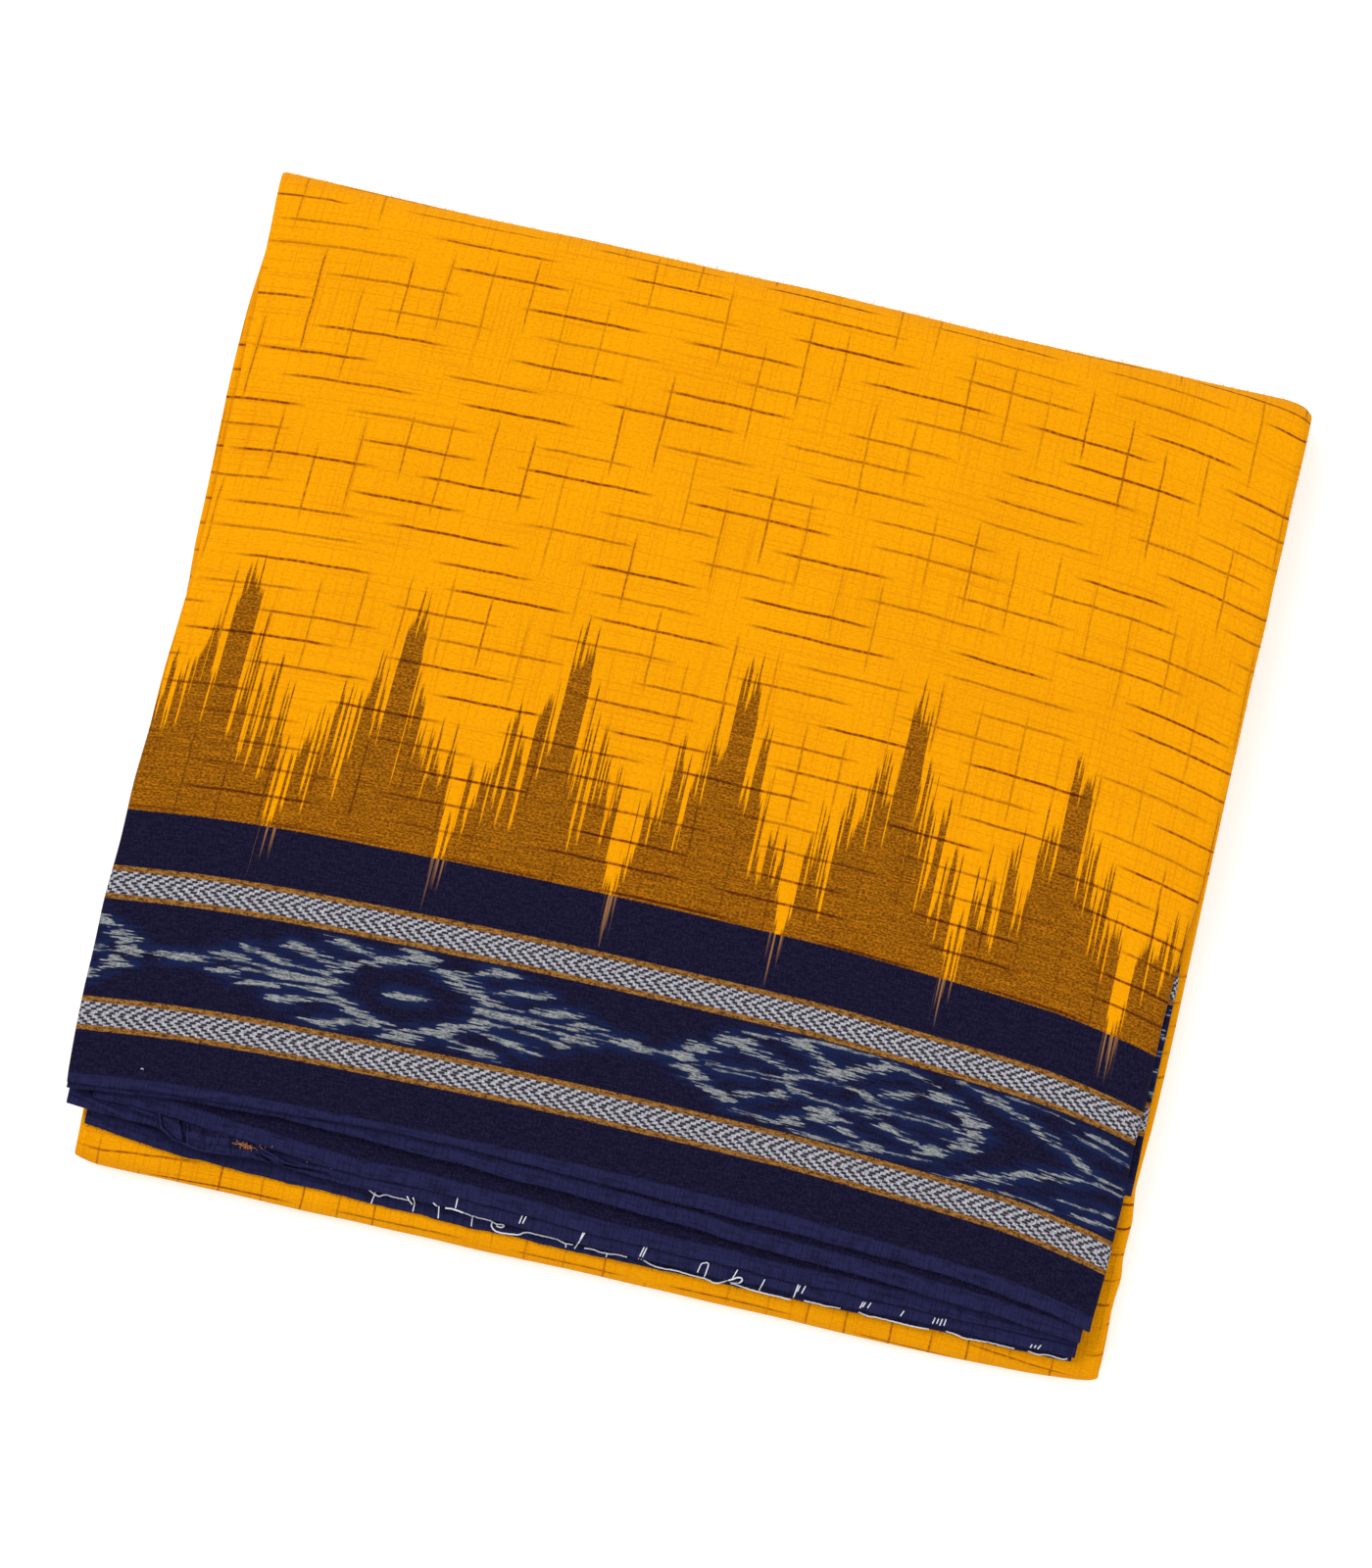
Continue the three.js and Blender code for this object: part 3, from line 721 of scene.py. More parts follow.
# %% The field's finish
def make_field():
    finish = Finish("amber_field", (1.0, 0.62, 0.1))
    u, v = finish.u, finish.v
    grain = finish.cloud(u / 1.3, v / 0.6)
    colour = finish.mix(finish.cloud(u / 30.0, v / 30.0, 2.0), AMBER, AMBER_DEEP)
    slubs = finish.cloud(u / 45.0, v / 0.7).above(finish.cloud(u / 0.7, v / 45.0))
    threads = grain.over(0.56, 0.4) * 0.36 + slubs.over(0.65, 0.16) * 0.36
    colour = finish.mix(threads.below(1.0), colour, AMBER_THREAD)
    brown, tips = teeth(finish)
    streaks = finish.cloud(u / 0.9, v / 0.45) + finish.cloud(u / 9.0, v / 0.5) * 0.5
    temple = finish.mix(streaks.over(0.82, 0.5), TEMPLE_DARK, TEMPLE_LIGHT)
    temple = finish.mix(finish.cloud(u / 22.0, v / 3.0) * 0.3, temple, TEMPLE_DARK)
    colour = finish.mix(brown * (grain.over(0.30, 0.3) * 0.12 + 0.88), colour, temple)
    mark = finish.mix(brown, DASH, DASH_ON_BROWN)
    dashes = length_dashes(finish).above(cross_dashes(finish)).below(1.0)
    colour = finish.mix(dashes, colour, mark)
    blue = finish.mix(tips, finish.blue_ground(), TIP)
    edge = (finish.cloud(u / 0.7, 4.0) - 0.5) * 0.6 + FIELD_END
    colour = finish.mix((v - edge).over(0.0, 0.25), blue, colour)
    return finish.weave(colour, 0.5)


AMBER_FIELD = make_field()
print("amber field nodes:", len(AMBER_FIELD.node_tree.nodes))

# %% [markdown]
# ### The border
# Two bands of white herringbone between gold lines hold a row of dyed figures: an eye with
# rays, and a rosette, by turns. Both bands mirror each other, so the pattern is drawn once for
# the distance from the middle of the row. Each figure is mirrored twice as well, and a little
# noise keeps the four quarters from being the same.

# %% Chart of the figures
MIDDLE = -81.15  # v of the middle of the row of figures
FIGURES_REACH = 14.4  # how far the figures reach from there
FIGURE_SPAN = 127.0  # from one figure to the next one of its kind is twice this
EYE_AT = -65.0
ROSETTE_AT = 62.5
TURNING_FROM = 96.0  # from here on the strokes turn at an angle, and no eye follows
HERRING_IN, HERRING_OUT = 16.35, 23.35
HERRING_MIDDLE = (HERRING_IN + HERRING_OUT) / 2
HERRING_PICK, HERRING_SLOPE, HERRING_REPEAT = 0.8, 1.52, 3.38
GOLD_AT, GOLD_HALF = 4.28, 0.78  # from the middle of a herringbone band, and half its width
SELVEDGE_FROM = -119.2
WARP = 0.45  # height of one thread of the figures
# a stroke goes from (x, y) to (x, y) outwards from the figure's middle, and is so thick
EYE = [
    (-4.5, 12.4, 4.0, 12.4, 2.1), (3.0, 10.2, 13.0, 8.5, 1.3), (9.5, 9.2, 20.5, 4.9, 1.6),
    (18.0, 5.4, 25.5, 2.2, 1.6), (-8.0, 0.4, 6.5, 0.4, 1.1), (4.0, 9.4, 17.0, 10.1, 0.6),
    (12.0, 9.9, 21.5, 11.4, 0.9), (17.5, 11.4, 28.5, 12.6, 1.25), (16.0, 5.8, 30.0, 6.1, 0.55),
    (26.0, 6.5, 40.5, 8.8, 1.25), (23.0, 2.6, 42.0, 3.4, 0.6), (37.0, 3.4, 51.0, 5.5, 1.1),
    (19.0, 0.2, 40.0, 0.7, 1.1), (36.0, 0.7, 54.0, 1.4, 0.7), (46.0, 2.2, 58.5, 2.8, 1.0),
    (50.0, 0.9, 67.0, 0.7, 0.5), (62.0, 0.4, 72.5, 0.5, 1.2), (69.0, 0.2, 86.0, 0.3, 0.5),
]
ROSETTE = [
    (38.0, 4.7, 44.5, 3.2, 2.2), (41.0, 0.3, 47.0, 0.3, 1.7), (28.0, 8.8, 36.5, 7.4, 1.8),
    (14.0, 12.4, 31.0, 10.8, 0.55), (7.0, 10.4, 18.0, 12.8, 1.3), (12.0, 3.1, 29.0, 7.4, 1.0),
    (10.0, 0.7, 39.0, 0.6, 0.55), (6.0, 2.9, 15.5, 1.2, 1.0), (-4.0, 6.3, 4.5, 6.3, 2.1),
    (1.0, 7.9, 17.0, 12.0, 0.95), (-4.0, 3.2, 13.0, 2.8, 0.55), (-4.0, 14.2, 11.0, 13.5, 0.85),
]
TURNING = [
    (97.0, 14.5, 113.0, 11.2, 0.75), (105.0, 12.3, 120.5, 8.1, 1.0), (115.5, 9.2, 132.0, 4.2, 1.0),
    (127.5, 5.2, 142.5, 1.2, 0.95), (137.5, 1.9, 149.0, 0.4, 0.7), (111.0, 13.9, 132.0, 13.4, 0.55),
    (132.0, 9.8, 155.0, 7.6, 0.55), (137.0, 12.2, 151.0, 11.2, 0.95), (145.0, 1.0, 156.0, 0.8, 0.5),
]
GOLD = (0.270, 0.122, 0.024)
GOLD_DARK = (0.058, 0.020, 0.004)
CHALK = (0.195, 0.190, 0.205)
CHALK_BRIGHT = (0.42, 0.415, 0.47)
SLATE = (0.018, 0.015, 0.020)
KHAKI = (0.245, 0.25, 0.24)
KHAKI_DIM = (0.075, 0.088, 0.110)
BLEED = (0.0065, 0.0140, 0.060)
SELVEDGE_BLUE = (0.0145, 0.0150, 0.056)
# the next two colours are painted light on the crumple: a painted highlight and painted shade
PAINTED_CREST_HIGHLIGHT = (0.026, 0.030, 0.098)
SHADED = (0.0012, 0.0011, 0.0045)

# %% [markdown]
# A stroke is a slanting bar with ends that run to points. The nearest one decides how deep the
# ink is at a place: inside a stroke the thread stayed pale, and just around it the dye bled.
# Each thread slid a little before weaving, which makes the edges run out along the threads.


# %% The figures
def strokes(finish, x, y, chart):
    """How deep inside the nearest stroke a point lies: 0 at an edge, more inside."""
    deepest = None
    for x0, y0, x1, y1, thick in chart:
        ruler = finish.tree.nodes.new("ShaderNodeMapRange")
        for slot, value in zip(list(ruler.inputs)[1:5], (x0, x1, y0, y1)):
            slot.default_value = value
        finish.tree.links.new(x.socket, ruler.inputs[0])
        middle = Sum(finish.tree, ruler.outputs[0])
        past = (abs(x - (x0 + x1) / 2) - ((x1 - x0) / 2 - 2.0)).above(0.0)
        depth = past * -0.5 + thick - abs(y - middle)
        deepest = depth if deepest is None else deepest.above(depth)
    return deepest


def figure_ink(finish):
    """How deep inside the strokes of the figures a place lies, with run-out ends."""
    u, v = finish.u, finish.v
    warp = (v / WARP).floor()
    slide, _, _ = finish.chance(warp, 5.0)
    run_out = (finish.cloud(u / 8.0, warp * 7.3) - 0.5) * 9.0
    fx = u + (slide * 6.0 - 3.0) + run_out
    fy = abs(v - MIDDLE + (finish.cloud(u / 22.0, v / 14.0) - 0.5) * 2.2)
    from_eye = abs((fx - EYE_AT).wrap(FIGURE_SPAN, -FIGURE_SPAN))
    from_rosette = abs((fx - ROSETTE_AT).wrap(FIGURE_SPAN, -FIGURE_SPAN))
    eye = strokes(finish, from_eye, fy, EYE) - u.over(TURNING_FROM, 4.0) * 9.0
    rosette = strokes(finish, from_rosette, fy, ROSETTE)
    ink = eye.above(rosette).above(strokes(finish, fx, fy, TURNING))
    ink = ink + (finish.cloud(u / 2.6, v / 0.5) - 0.5) * 1.0
    return ink + (finish.cloud(u / 9.0, v / 1.6) - 0.5) * 1.3


# %% [markdown]
# A herringbone is a row of slanting teeth that turns back on itself halfway up. Each pick of
# the weave shifts the teeth by a fixed step, and the chalky weft is never one even white.


# %% The herringbone and the gold
def herringbone(finish):
    u, v = finish.u, finish.v
    pick = (v / HERRING_PICK).floor()
    level = (pick + 0.5) * HERRING_PICK
    band = abs(abs(level - MIDDLE) - HERRING_MIDDLE)
    slant = (u - band * HERRING_SLOPE) / HERRING_REPEAT
    tooth = abs(slant - (slant + 0.5).floor()) + (finish.cloud(u / 0.8, v / 0.6) - 0.5) * 0.30
    seen = abs(v / HERRING_PICK - pick - 0.5).under(0.42, 0.3)
    dark = tooth.under(0.262, 0.08) * (seen * 0.4 + 0.58)
    chalk = finish.mix(finish.cloud(u / 0.6, v / 0.5).over(0.5, 0.3), CHALK, CHALK_BRIGHT)
    return finish.mix(dark, chalk, SLATE)


def gold_thread(finish):
    glint = finish.cloud(finish.u / 0.8, finish.v / 0.4)
    glint = glint + finish.cloud(finish.u / 2.2, finish.v / 0.8)
    return finish.mix(glint.over(0.96, 0.5), GOLD_DARK, GOLD)


# %% [markdown]
# The border is put together from the ground up: the blue cloth with its denser selvedge and the
# painted highlight and painted shade on the crumple, then the dyed figures, the herringbone and the
# gold.


# %% The border's finish
def make_border():
    finish = Finish("navy_border", (0.25, 0.25, 0.6))
    u, v = finish.u, finish.v
    out = abs(v - MIDDLE)
    ribs = finish.cloud(u / 0.6, v / 6.0).over(0.44, 0.25)
    rubs = finish.cloud(u / 8.0, v / 1.3).over(0.38, 0.3) + finish.cloud(u / 1.6, v / 1.2) * 0.5
    near_edge = v.under(SELVEDGE_FROM, 0.8) * (ribs * 0.5 + 0.4) * (rubs * 0.7 + 0.2)
    colour = finish.mix(near_edge.below(1.0), finish.blue_ground(), SELVEDGE_BLUE)
    # painted light on the crumple: a painted highlight on its crests and lumps, and painted shade at
    # the foot of its wrinkles
    worn, _ = finish.read_map("worn")
    colour = finish.mix(worn.above(0.0) * 0.6, colour, PAINTED_CREST_HIGHLIGHT)
    colour = finish.mix((worn * -1.0).above(0.0).below(1.0), colour, SHADED)
    # the figures
    ink = figure_ink(finish)
    within = out.under(FIGURES_REACH, 0.3)
    patchy = finish.cloud(u / 12.0, v / 4.0).over(0.36, 0.3)
    colour = finish.mix(ink.over(-1.6, 2.2) * within * patchy * 0.7, colour, BLEED)
    lit = finish.cloud(u / 0.9, v / 0.5) * 0.8 + finish.cloud(u / 3.5, v / 0.5)
    pale = finish.mix(lit.over(0.88, 0.4), KHAKI_DIM, KHAKI)
    colour = finish.mix(ink.over(0.38, 0.55) * within, colour, pale)
    # the woven bands
    ragged = (finish.cloud(u / 0.8, v / 8.0) - 0.5) * 0.5
    in_band = (out + ragged).inside(HERRING_IN, HERRING_OUT, 0.3)
    colour = finish.mix(in_band, colour, herringbone(finish))
    lines = abs(abs(out + ragged * 0.6 - HERRING_MIDDLE) - GOLD_AT).under(GOLD_HALF, 0.3)
    colour = finish.mix(lines, colour, gold_thread(finish))
    return finish.weave(colour, 0.6)


NAVY_BORDER = make_border()
print("navy border nodes:", len(NAVY_BORDER.node_tree.nodes))

# %% [markdown]
# ## The outer panel
# The outermost panel is one cloth. It starts at the top selvedge, lies over the whole pack and
# rolls round the back fold, and its two sides curl down over the pile: half round a 7 mm pile
# at the right, and round half of it at the left, where the panels turn twice. Each row across
# it is the same list of columns: left curl, flat, right curl.

# %% Columns across a panel
CURL_RIGHT = PILE / 2
CURL_LEFT = PILE / 4
LEFT_TURN, RIGHT_TURN = 0.88 * math.pi, 0.8 * math.pi  # how far round each side curls


def across(flat_columns):
    """(kind, value) columns: how far round a curl, or how far over the flat."""
    left = [("left", a) for a in np.linspace(LEFT_TURN, 0.0, 8, endpoint=False)]
    flat = [("flat", s) for s in np.linspace(0.0, 1.0, flat_columns)]
    right = [("right", a) for a in np.linspace(0.0, RIGHT_TURN, 11)[1:]]
    return left + flat + right


def panel(rows, columns, seed, shift=(0.0, 0.0)):
    """The grid of a panel that follows the pile. rows are (stretch, t)."""
    points = np.zeros((len(rows), len(columns), 3))
    cloth = np.zeros((len(rows), len(columns), 2))
    kinds = np.array([kind for kind, _ in columns])
    value = np.array([number for _, number in columns])
    is_left, is_right, is_flat = kinds == "left", kinds == "right", kinds == "flat"
    for r, (stretch, t) in enumerate(rows):
        depth = np.where(is_left, CURL_LEFT * (1 - np.cos(value)), 0.0)
        depth = np.where(is_right, CURL_RIGHT * (1 - np.cos(value)), depth)
        x = np.linspace(-150.0, 150.0, len(columns))
        for _ in range(3):
            y, z = pile_point(stretch, t, x, depth)
            left, right = side_edges(stretch, t, y)
            wave = 0.35 * noise.noise((r * 0.11, seed, 2.0))
            start, end = left + CURL_LEFT + wave, right - CURL_RIGHT + wave
            x = np.where(is_flat, start + value * (end - start), 0.0)
            x = np.where(is_left, start - CURL_LEFT * np.sin(value), x)
            x = np.where(is_right, end + CURL_RIGHT * np.sin(value), x)
        y, z = pile_point(stretch, t, x, depth)
        u = np.where(is_flat, x, 0.0)
        u = np.where(is_left, start - CURL_LEFT * value, u)
        u = np.where(is_right, end + CURL_RIGHT * value, u)
        v = cloth_v(stretch, t, x, y)
        u = u - lean(u) * (np.minimum(v, 190.0) + 40.0) + shift[0]
        v = v + shift[1]
        points[r] = np.stack([x, y, z], -1)
        cloth[r] = np.stack([u, v], -1)
    return points, cloth


def lift(points, cloth, seed, amount=1.0):
    """Moves the grid along its own normals by the swells and creases."""
    across_way = np.gradient(points, axis=1)
    along_way = np.gradient(points, axis=0)
    normal = np.cross(across_way, along_way)
    normal /= np.linalg.norm(normal, axis=2, keepdims=True) + 1e-9
    u, v = cloth[..., 0], cloth[..., 1]
    relief = amount * (swell(u, v, seed) + crease_relief(u, v) - 0.1)
    return points + normal * relief[..., None]


# %% [markdown]
# The rows are close together at the front, where the selvedge rolls, and wider apart on the
# flat. The woven edge stands up in a low roll and then turns down, and it is never straight.

# %% Top of the outer panel
FLAT_COLUMNS = 150
ROLL_AT, ROLL_WIDTH, ROLL_HEIGHT = -121.5, 1.8, 0.25
front_rows = [(TOP, t) for t in (0.0, 0.0022, 0.0045, 0.008, 0.012, 0.0165, 0.021)]
top_rows = front_rows + [(TOP, t) for t in np.linspace(0.027, 1.0, 134)]
top_rows += [(BACK, t) for t in np.linspace(0.0, 1.0, 23)[1:]]
top_rows += [(UNDER, t) for t in (0.0075, 0.015, 0.0225, 0.0299)]
points, cloth = panel(top_rows, across(FLAT_COLUMNS), 1.0)
points = lift(points, cloth, 1.0)
points[..., 2] = np.maximum(points[..., 2], 0.0)
roll = np.exp(-((cloth[..., 1] - ROLL_AT) / ROLL_WIDTH) ** 2) * ROLL_HEIGHT
points[..., 2] += np.where(points[..., 1] < -100, roll, 0.0)
points[0, :, 2] -= 0.45
points[1, :, 2] -= 0.12
points[0, :, 1] += 0.35 * ripple(points[0, :, 0], 9.0, 4.0)
top_panel = cloth_piece("top_panel", points, cloth, [AMBER_FIELD, NAVY_BORDER])
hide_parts("top_leaf", "back_fold")

# %% [markdown]
# Under the pack the same panel lies flat on the table, rolls round the mid fold, and goes back
# between the legs. Its front shows as the amber strip below the blue selvedges.

# %% Underside and mid fold of the outer panel
FLAT_BELOW = 3.0  # cloth lower than this lies flatter the closer it is to the table
SEEN_FROM, SEEN_OVER = -118.0, 6.0  # round the mid fold, creases only near the front
OTHER_LENGTH = (13.0, -14.0)  # this stretch shows another part of the pattern
under_rows = [(UNDER, t) for t in np.linspace(0.030, 0.93, 46)]
under_rows += [(UNDER, t) for t in np.linspace(0.94, 1.0, 9)]
under_rows += [(MID, t) for t in np.linspace(0.0, 1.0, 19)[1:]]
under_rows += [(BETWEEN, t) for t in np.linspace(0.0, 0.12, 20)[1:]]
under_rows += [(BETWEEN, t) for t in np.linspace(0.12, 0.96, 26)[1:]]
points, cloth = panel(under_rows, across(110), 2.0, OTHER_LENGTH)
lifted = lift(points, cloth, 2.0, 0.8)
resting = np.clip(points[..., 2] / FLAT_BELOW, 0.0, 1.0)[..., None]
seen = np.clip((SEEN_FROM - points[..., 1]) / SEEN_OVER, 0.0, 1.0)[..., None]
flat_under = np.array([r[0] == UNDER for r in under_rows])[:, None, None]
share = np.where(flat_under, resting, seen)
points = points + (lifted - points) * share
points[..., 2] = np.maximum(points[..., 2], 0.0)
under_panel = cloth_piece("under_panel", points, cloth, [AMBER_FIELD])
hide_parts("under_leaf", "mid_fold")

# %% [markdown]
# ## The inner turns at the sides
# Behind the outer panel's curls the inner panels turn too. Each turn is a long half-round strip
# that follows the pile: the second one at the left on the outer half of the walk, and the third
# and fourth at the left and the second at the right on its inner half.


# %% A half-round turn along the pile
def side_turn(name, side, near, far, rows, seed, out=None):
    """A turn between two depths. out gives how far it stands out at each y."""
    radius = (far - near) / 2
    angles = np.linspace(0.0, math.pi, 9)
    turn_depth = near + radius * (1 - np.cos(angles))
    reach = radius * np.sin(angles)
    inner = np.array([6.0, 3.0])
    depth = np.concatenate([[near, near], turn_depth, [far, far]])
    push = np.concatenate([-inner, reach, -inner[::-1]])
    points = np.zeros((len(rows), len(depth), 3))
    cloth = np.zeros((len(rows), len(depth), 2))
    for r, (stretch, t) in enumerate(rows):
        x = np.full(len(depth), 153.0 * side)
        for _ in range(3):
            y, z = pile_point(stretch, t, x, depth)
            left, right = side_edges(stretch, t, y)
            wave = 0.45 * noise.noise((r * 0.13, seed, 5.0)) - 0.35
            extra = out(stretch, y) if out else 0.0
            edge = right - radius + wave + extra if side > 0 else left + radius - wave - extra
            x = edge + side * push
        y, z = pile_point(stretch, t, x, depth)
        v = cloth_v(stretch, t, x, y)
        u = x + np.concatenate([[0, 0], radius * angles, [radius * 3.2] * 2]) * side
        points[r] = np.stack([x, y, z], -1)
        cloth[r] = np.stack([u + 11.0 * seed, v], -1)
    if side < 0:
        points, cloth = points[:, ::-1], cloth[:, ::-1]
    return cloth_piece(name, points, cloth, [AMBER_FIELD, NAVY_BORDER])


def walk(stretches):
    """Rows about 5 mm apart along some stretches, and 2 mm apart round a fold."""
    lengths = {TOP: 262.0, BACK: 40.0, UNDER: UNDER_LENGTH, MID: 20.0,
               BETWEEN: UNDER_LENGTH, INNER_BACK: 14.0, UPPER: 262.0}
    rows = []
    for stretch in stretches:
        spacing = 5.0 if lengths[stretch] > 60 else 2.0
        count = int(lengths[stretch] / spacing) + 1
        first = 1 if rows else 0
        rows += [(stretch, t) for t in np.linspace(0.0, 1.0, count)[first:]]
    return rows


def left_peek(stretch, y):
    return through(LEFT_PEEK, y) if stretch == TOP else 0.0


outer_walk = [r for r in walk([TOP, BACK, UNDER, MID]) if r != (MID, 1.0)]
inner_walk = walk([BETWEEN, INNER_BACK, UPPER])
left_second = side_turn("left_second_turn", -1, 3.6, 6.6, outer_walk, 1.0, left_peek)
left_third = side_turn("left_third_turn", -1, 0.3, 3.3, inner_walk, 2.0)
left_fourth = side_turn("left_fourth_turn", -1, 3.7, 6.8, inner_walk, 3.0)
right_second = side_turn("right_second_turn", 1, 0.4, 6.6, inner_walk, 4.0)
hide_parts("inner_layers", "left_inner_fold")

# %% [markdown]
# ## The selvedges in steps
# At the front the panels end in their woven edges. Four of them show from above, each a little
# further out than the one over it, and the thinner ones between them show from the front. Each
# edge is a narrow strip with a denser, bluer rim that rolls a little and waves as it likes.

# %% One selvedge leaf
RIM_AT, RIM_WIDTH, RIM_HEIGHT = 1.6, 1.5, 0.28


def selvedge_height(share, x, y):
    low, high = LEG + 0.5, top_height(x, y) - 0.9
    return low + share * (high - low)


def selvedge_leaf(name, edge, share, ends, seed, depth=15.0, wave=0.5, crumple=None):
    steps = np.array([0.0, 0.35, 0.8, 1.6, 2.6, 3.8, 5.2, 7.5, 10.5, depth])
    x = np.linspace(ends[0], ends[1], 190)
    if crumple is not None:
        steps = np.concatenate([[0.0, 0.3], np.linspace(0.6, 9.0, 34), np.linspace(9.8, depth, 6)])
        x = np.concatenate([np.linspace(ends[0], -134.0, 60), np.linspace(-133.8, -78.0, 240),
                            np.linspace(-77.0, ends[1], 150)])
    edge_y = through(edge, x) + wave * ripple(x, 14.0, seed) + 0.25 * ripple(x, 4.0, seed + 9)
    points = np.zeros((len(steps), len(x), 3))
    cloth = np.zeros((len(steps), len(x), 2))
    # painted light that the crumple gives: a painted highlight where positive, painted shade where
    # negative
    worn = np.zeros((len(steps), len(x)))
    for r, step in enumerate(steps):
        y = edge_y + step
        z = selvedge_height(share, x, y)
        z = z + RIM_HEIGHT * math.exp(-((step - RIM_AT) / RIM_WIDTH) ** 2)
        waves = 0.22 * ripple(x, 11.0, seed + 2) + 0.12 * ripple(x, 5.0, seed + 5)
        z = z + waves * math.exp(-step / 6.0)
        z = z - (0.35 if step == 0 else 0.0)
        if crumple is not None:
            height, worn[r] = crumple(x, y)
            z = z + height
        points[r] = np.stack([x, y, z], -1)
        cloth[r] = np.stack([x + 23.0 * seed, -124.0 + step + 0 * x], -1)
    leaf = cloth_piece(name, points, cloth, [NAVY_BORDER], 0.0003, worn)
    return leaf


# %% [markdown]
# At the lower left a loose stretch of the third selvedge puffs up into a small pillow with
# wrinkles and lumps. Each wrinkle is a short ridge or groove, placed one by one. Ridges and lumps
# get a painted highlight and the cloth at their foot painted shade, so that second value is kept
# beside the height.

# %% The crumple
# (x, y) to (x, y), width, height
WRINKLES = [
    (-131.5, -131.4, -130.0, -135.2, 0.5, 0.8), (-130.0, -135.0, -125.5, -138.2, 0.5, 0.8),
    (-126.0, -138.0, -118.0, -139.2, 0.5, 0.7), (-121.0, -131.8, -103.0, -132.6, 0.5, -0.6),
    (-124.6, -132.6, -122.8, -136.8, 0.5, -0.6), (-122.6, -132.6, -121.6, -137.2, 0.45, 0.5),
    (-117.5, -133.4, -116.6, -137.6, 0.5, -0.3), (-113.0, -133.2, -113.8, -137.4, 0.6, 0.3),
    (-109.5, -133.0, -108.4, -137.6, 0.5, -0.35), (-106.5, -133.4, -106.0, -137.8, 0.4, 0.3),
    (-103.4, -133.8, -101.0, -136.4, 0.5, -0.9), (-101.0, -136.2, -96.5, -138.0, 0.5, -0.8),
    (-100.0, -134.8, -93.0, -137.0, 0.4, 0.8), (-99.0, -136.6, -88.0, -137.8, 0.35, 0.6),
    (-96.0, -135.4, -84.0, -136.2, 0.4, -0.7), (-92.0, -138.2, -80.0, -138.0, 0.4, -0.6),
    (-98.0, -133.8, -86.0, -134.4, 0.5, 0.4), (-112.0, -139.0, -97.0, -138.9, 0.4, 0.5),
    (-146.0, -131.6, -133.0, -133.2, 0.6, -0.4), (-156.0, -131.0, -142.0, -134.0, 0.7, 0.35),
]
STEEPNESS = 2.2  # all wrinkles are this much higher than their chart says
PUFF_AT, PUFF_REACH, PUFF_HEIGHT = (-116.0, -135.2), (13.0, 3.6), 1.6


def crumpled(x, y):
    """Height of the crumple at a place, and its painted light: highlight (+) on crests and lumps,
    shade (-) at the foot of wrinkles.
    """
    total, worn = 0.0 * x, 0.0 * x
    for x0, y0, x1, y1, width, height in WRINKLES:
        run = math.hypot(x1 - x0, y1 - y0)
        along = ((x - x0) * (x1 - x0) + (y - y0) * (y1 - y0)) / run
        aside = ((x - x0) * (y1 - y0) - (y - y0) * (x1 - x0)) / run
        past = np.maximum(np.maximum(-along, along - run), 0.0)
        end = np.exp(-((past / 1.2) ** 2))
        total = total + STEEPNESS * height * np.exp(-((aside / width) ** 2)) * end
        # beside the height, painted light: a painted highlight on each crest and painted shade at
        # its foot
        foot = np.exp(-(((np.abs(aside) - 1.25 * width) / (0.55 * width)) ** 2))
        crest = np.exp(-((aside / (0.75 * width)) ** 2))
        if height > 0:
            worn = worn + height * end * (0.75 * crest - 0.7 * foot)
        else:
            worn = worn + height * end * (1.3 * crest - 0.5 * foot)
    puff = np.exp(-(((x - PUFF_AT[0]) / PUFF_REACH[0]) ** 4))
    puff = puff * np.exp(-(((y - PUFF_AT[1]) / PUFF_REACH[1]) ** 4))
    lumps = puff * swell(x * 13.0, y * 20.0, 8.0)
    total = total + PUFF_HEIGHT * puff + 1.2 * lumps
    # raised lumps get a painted highlight as well
    return total, np.clip(worn + 1.5 * lumps, -0.85, 0.8)


print("wrinkles placed by hand:", len(WRINKLES))

# %% [markdown]
# Three main leaves lie under the top one, and eight finer ones fill the gaps between them. A
# leaf's share says how high it lies, from 0 at the bottom of the upper half to 1 just under the
# top panel. The crumple pulls the third edge out of line, so that leaf has an edge of its own.

# %% The whole stack of selvedges
LOOSE_THIRD = [(-159, -134.2), (-142, -135.4), (-133, -135.2), (-128, -136.8), (-122, -138.6),
               (-115, -139.2), (-106, -138.6), (-98, -138.1), (-90, -138.7), (-75, -139.8),
               (-45, -140.2), (0, -142.3), (60, -143.2), (148, -144)]


def held_back(rows, by):
    """An edge moved inwards, so that its leaf shows less."""
    return [(x, y + by) for x, y in rows]


leaf_2 = selvedge_leaf("selvedge_second", SECOND_SELVEDGE, 0.88, (-160.0, 149.4), 1.0)
leaf_3 = selvedge_leaf("selvedge_third", LOOSE_THIRD, 0.50, (-159.2, 149.0), 2.0,
                       crumple=crumpled)
leaf_4 = selvedge_leaf("selvedge_fourth", FOURTH_SELVEDGE, 0.10, (-152.8, 148.2), 3.0)
BETWEEN_LEAVES = [
    ("selvedge_fine_1", SECOND_SELVEDGE, 1.2, 0.79), ("selvedge_fine_2", SECOND_SELVEDGE, 0.5, 0.70),
    ("selvedge_fine_3", THIRD_SELVEDGE, 3.6, 0.61), ("selvedge_fine_4", THIRD_SELVEDGE, 1.0, 0.41),
    ("selvedge_fine_5", THIRD_SELVEDGE, 1.8, 0.31), ("selvedge_fine_6", THIRD_SELVEDGE, 0.9, 0.22),
    ("selvedge_fine_7", FOURTH_SELVEDGE, 1.0, 0.0), ("selvedge_fine_8", TOP_SELVEDGE, 0.9, 0.97),
]
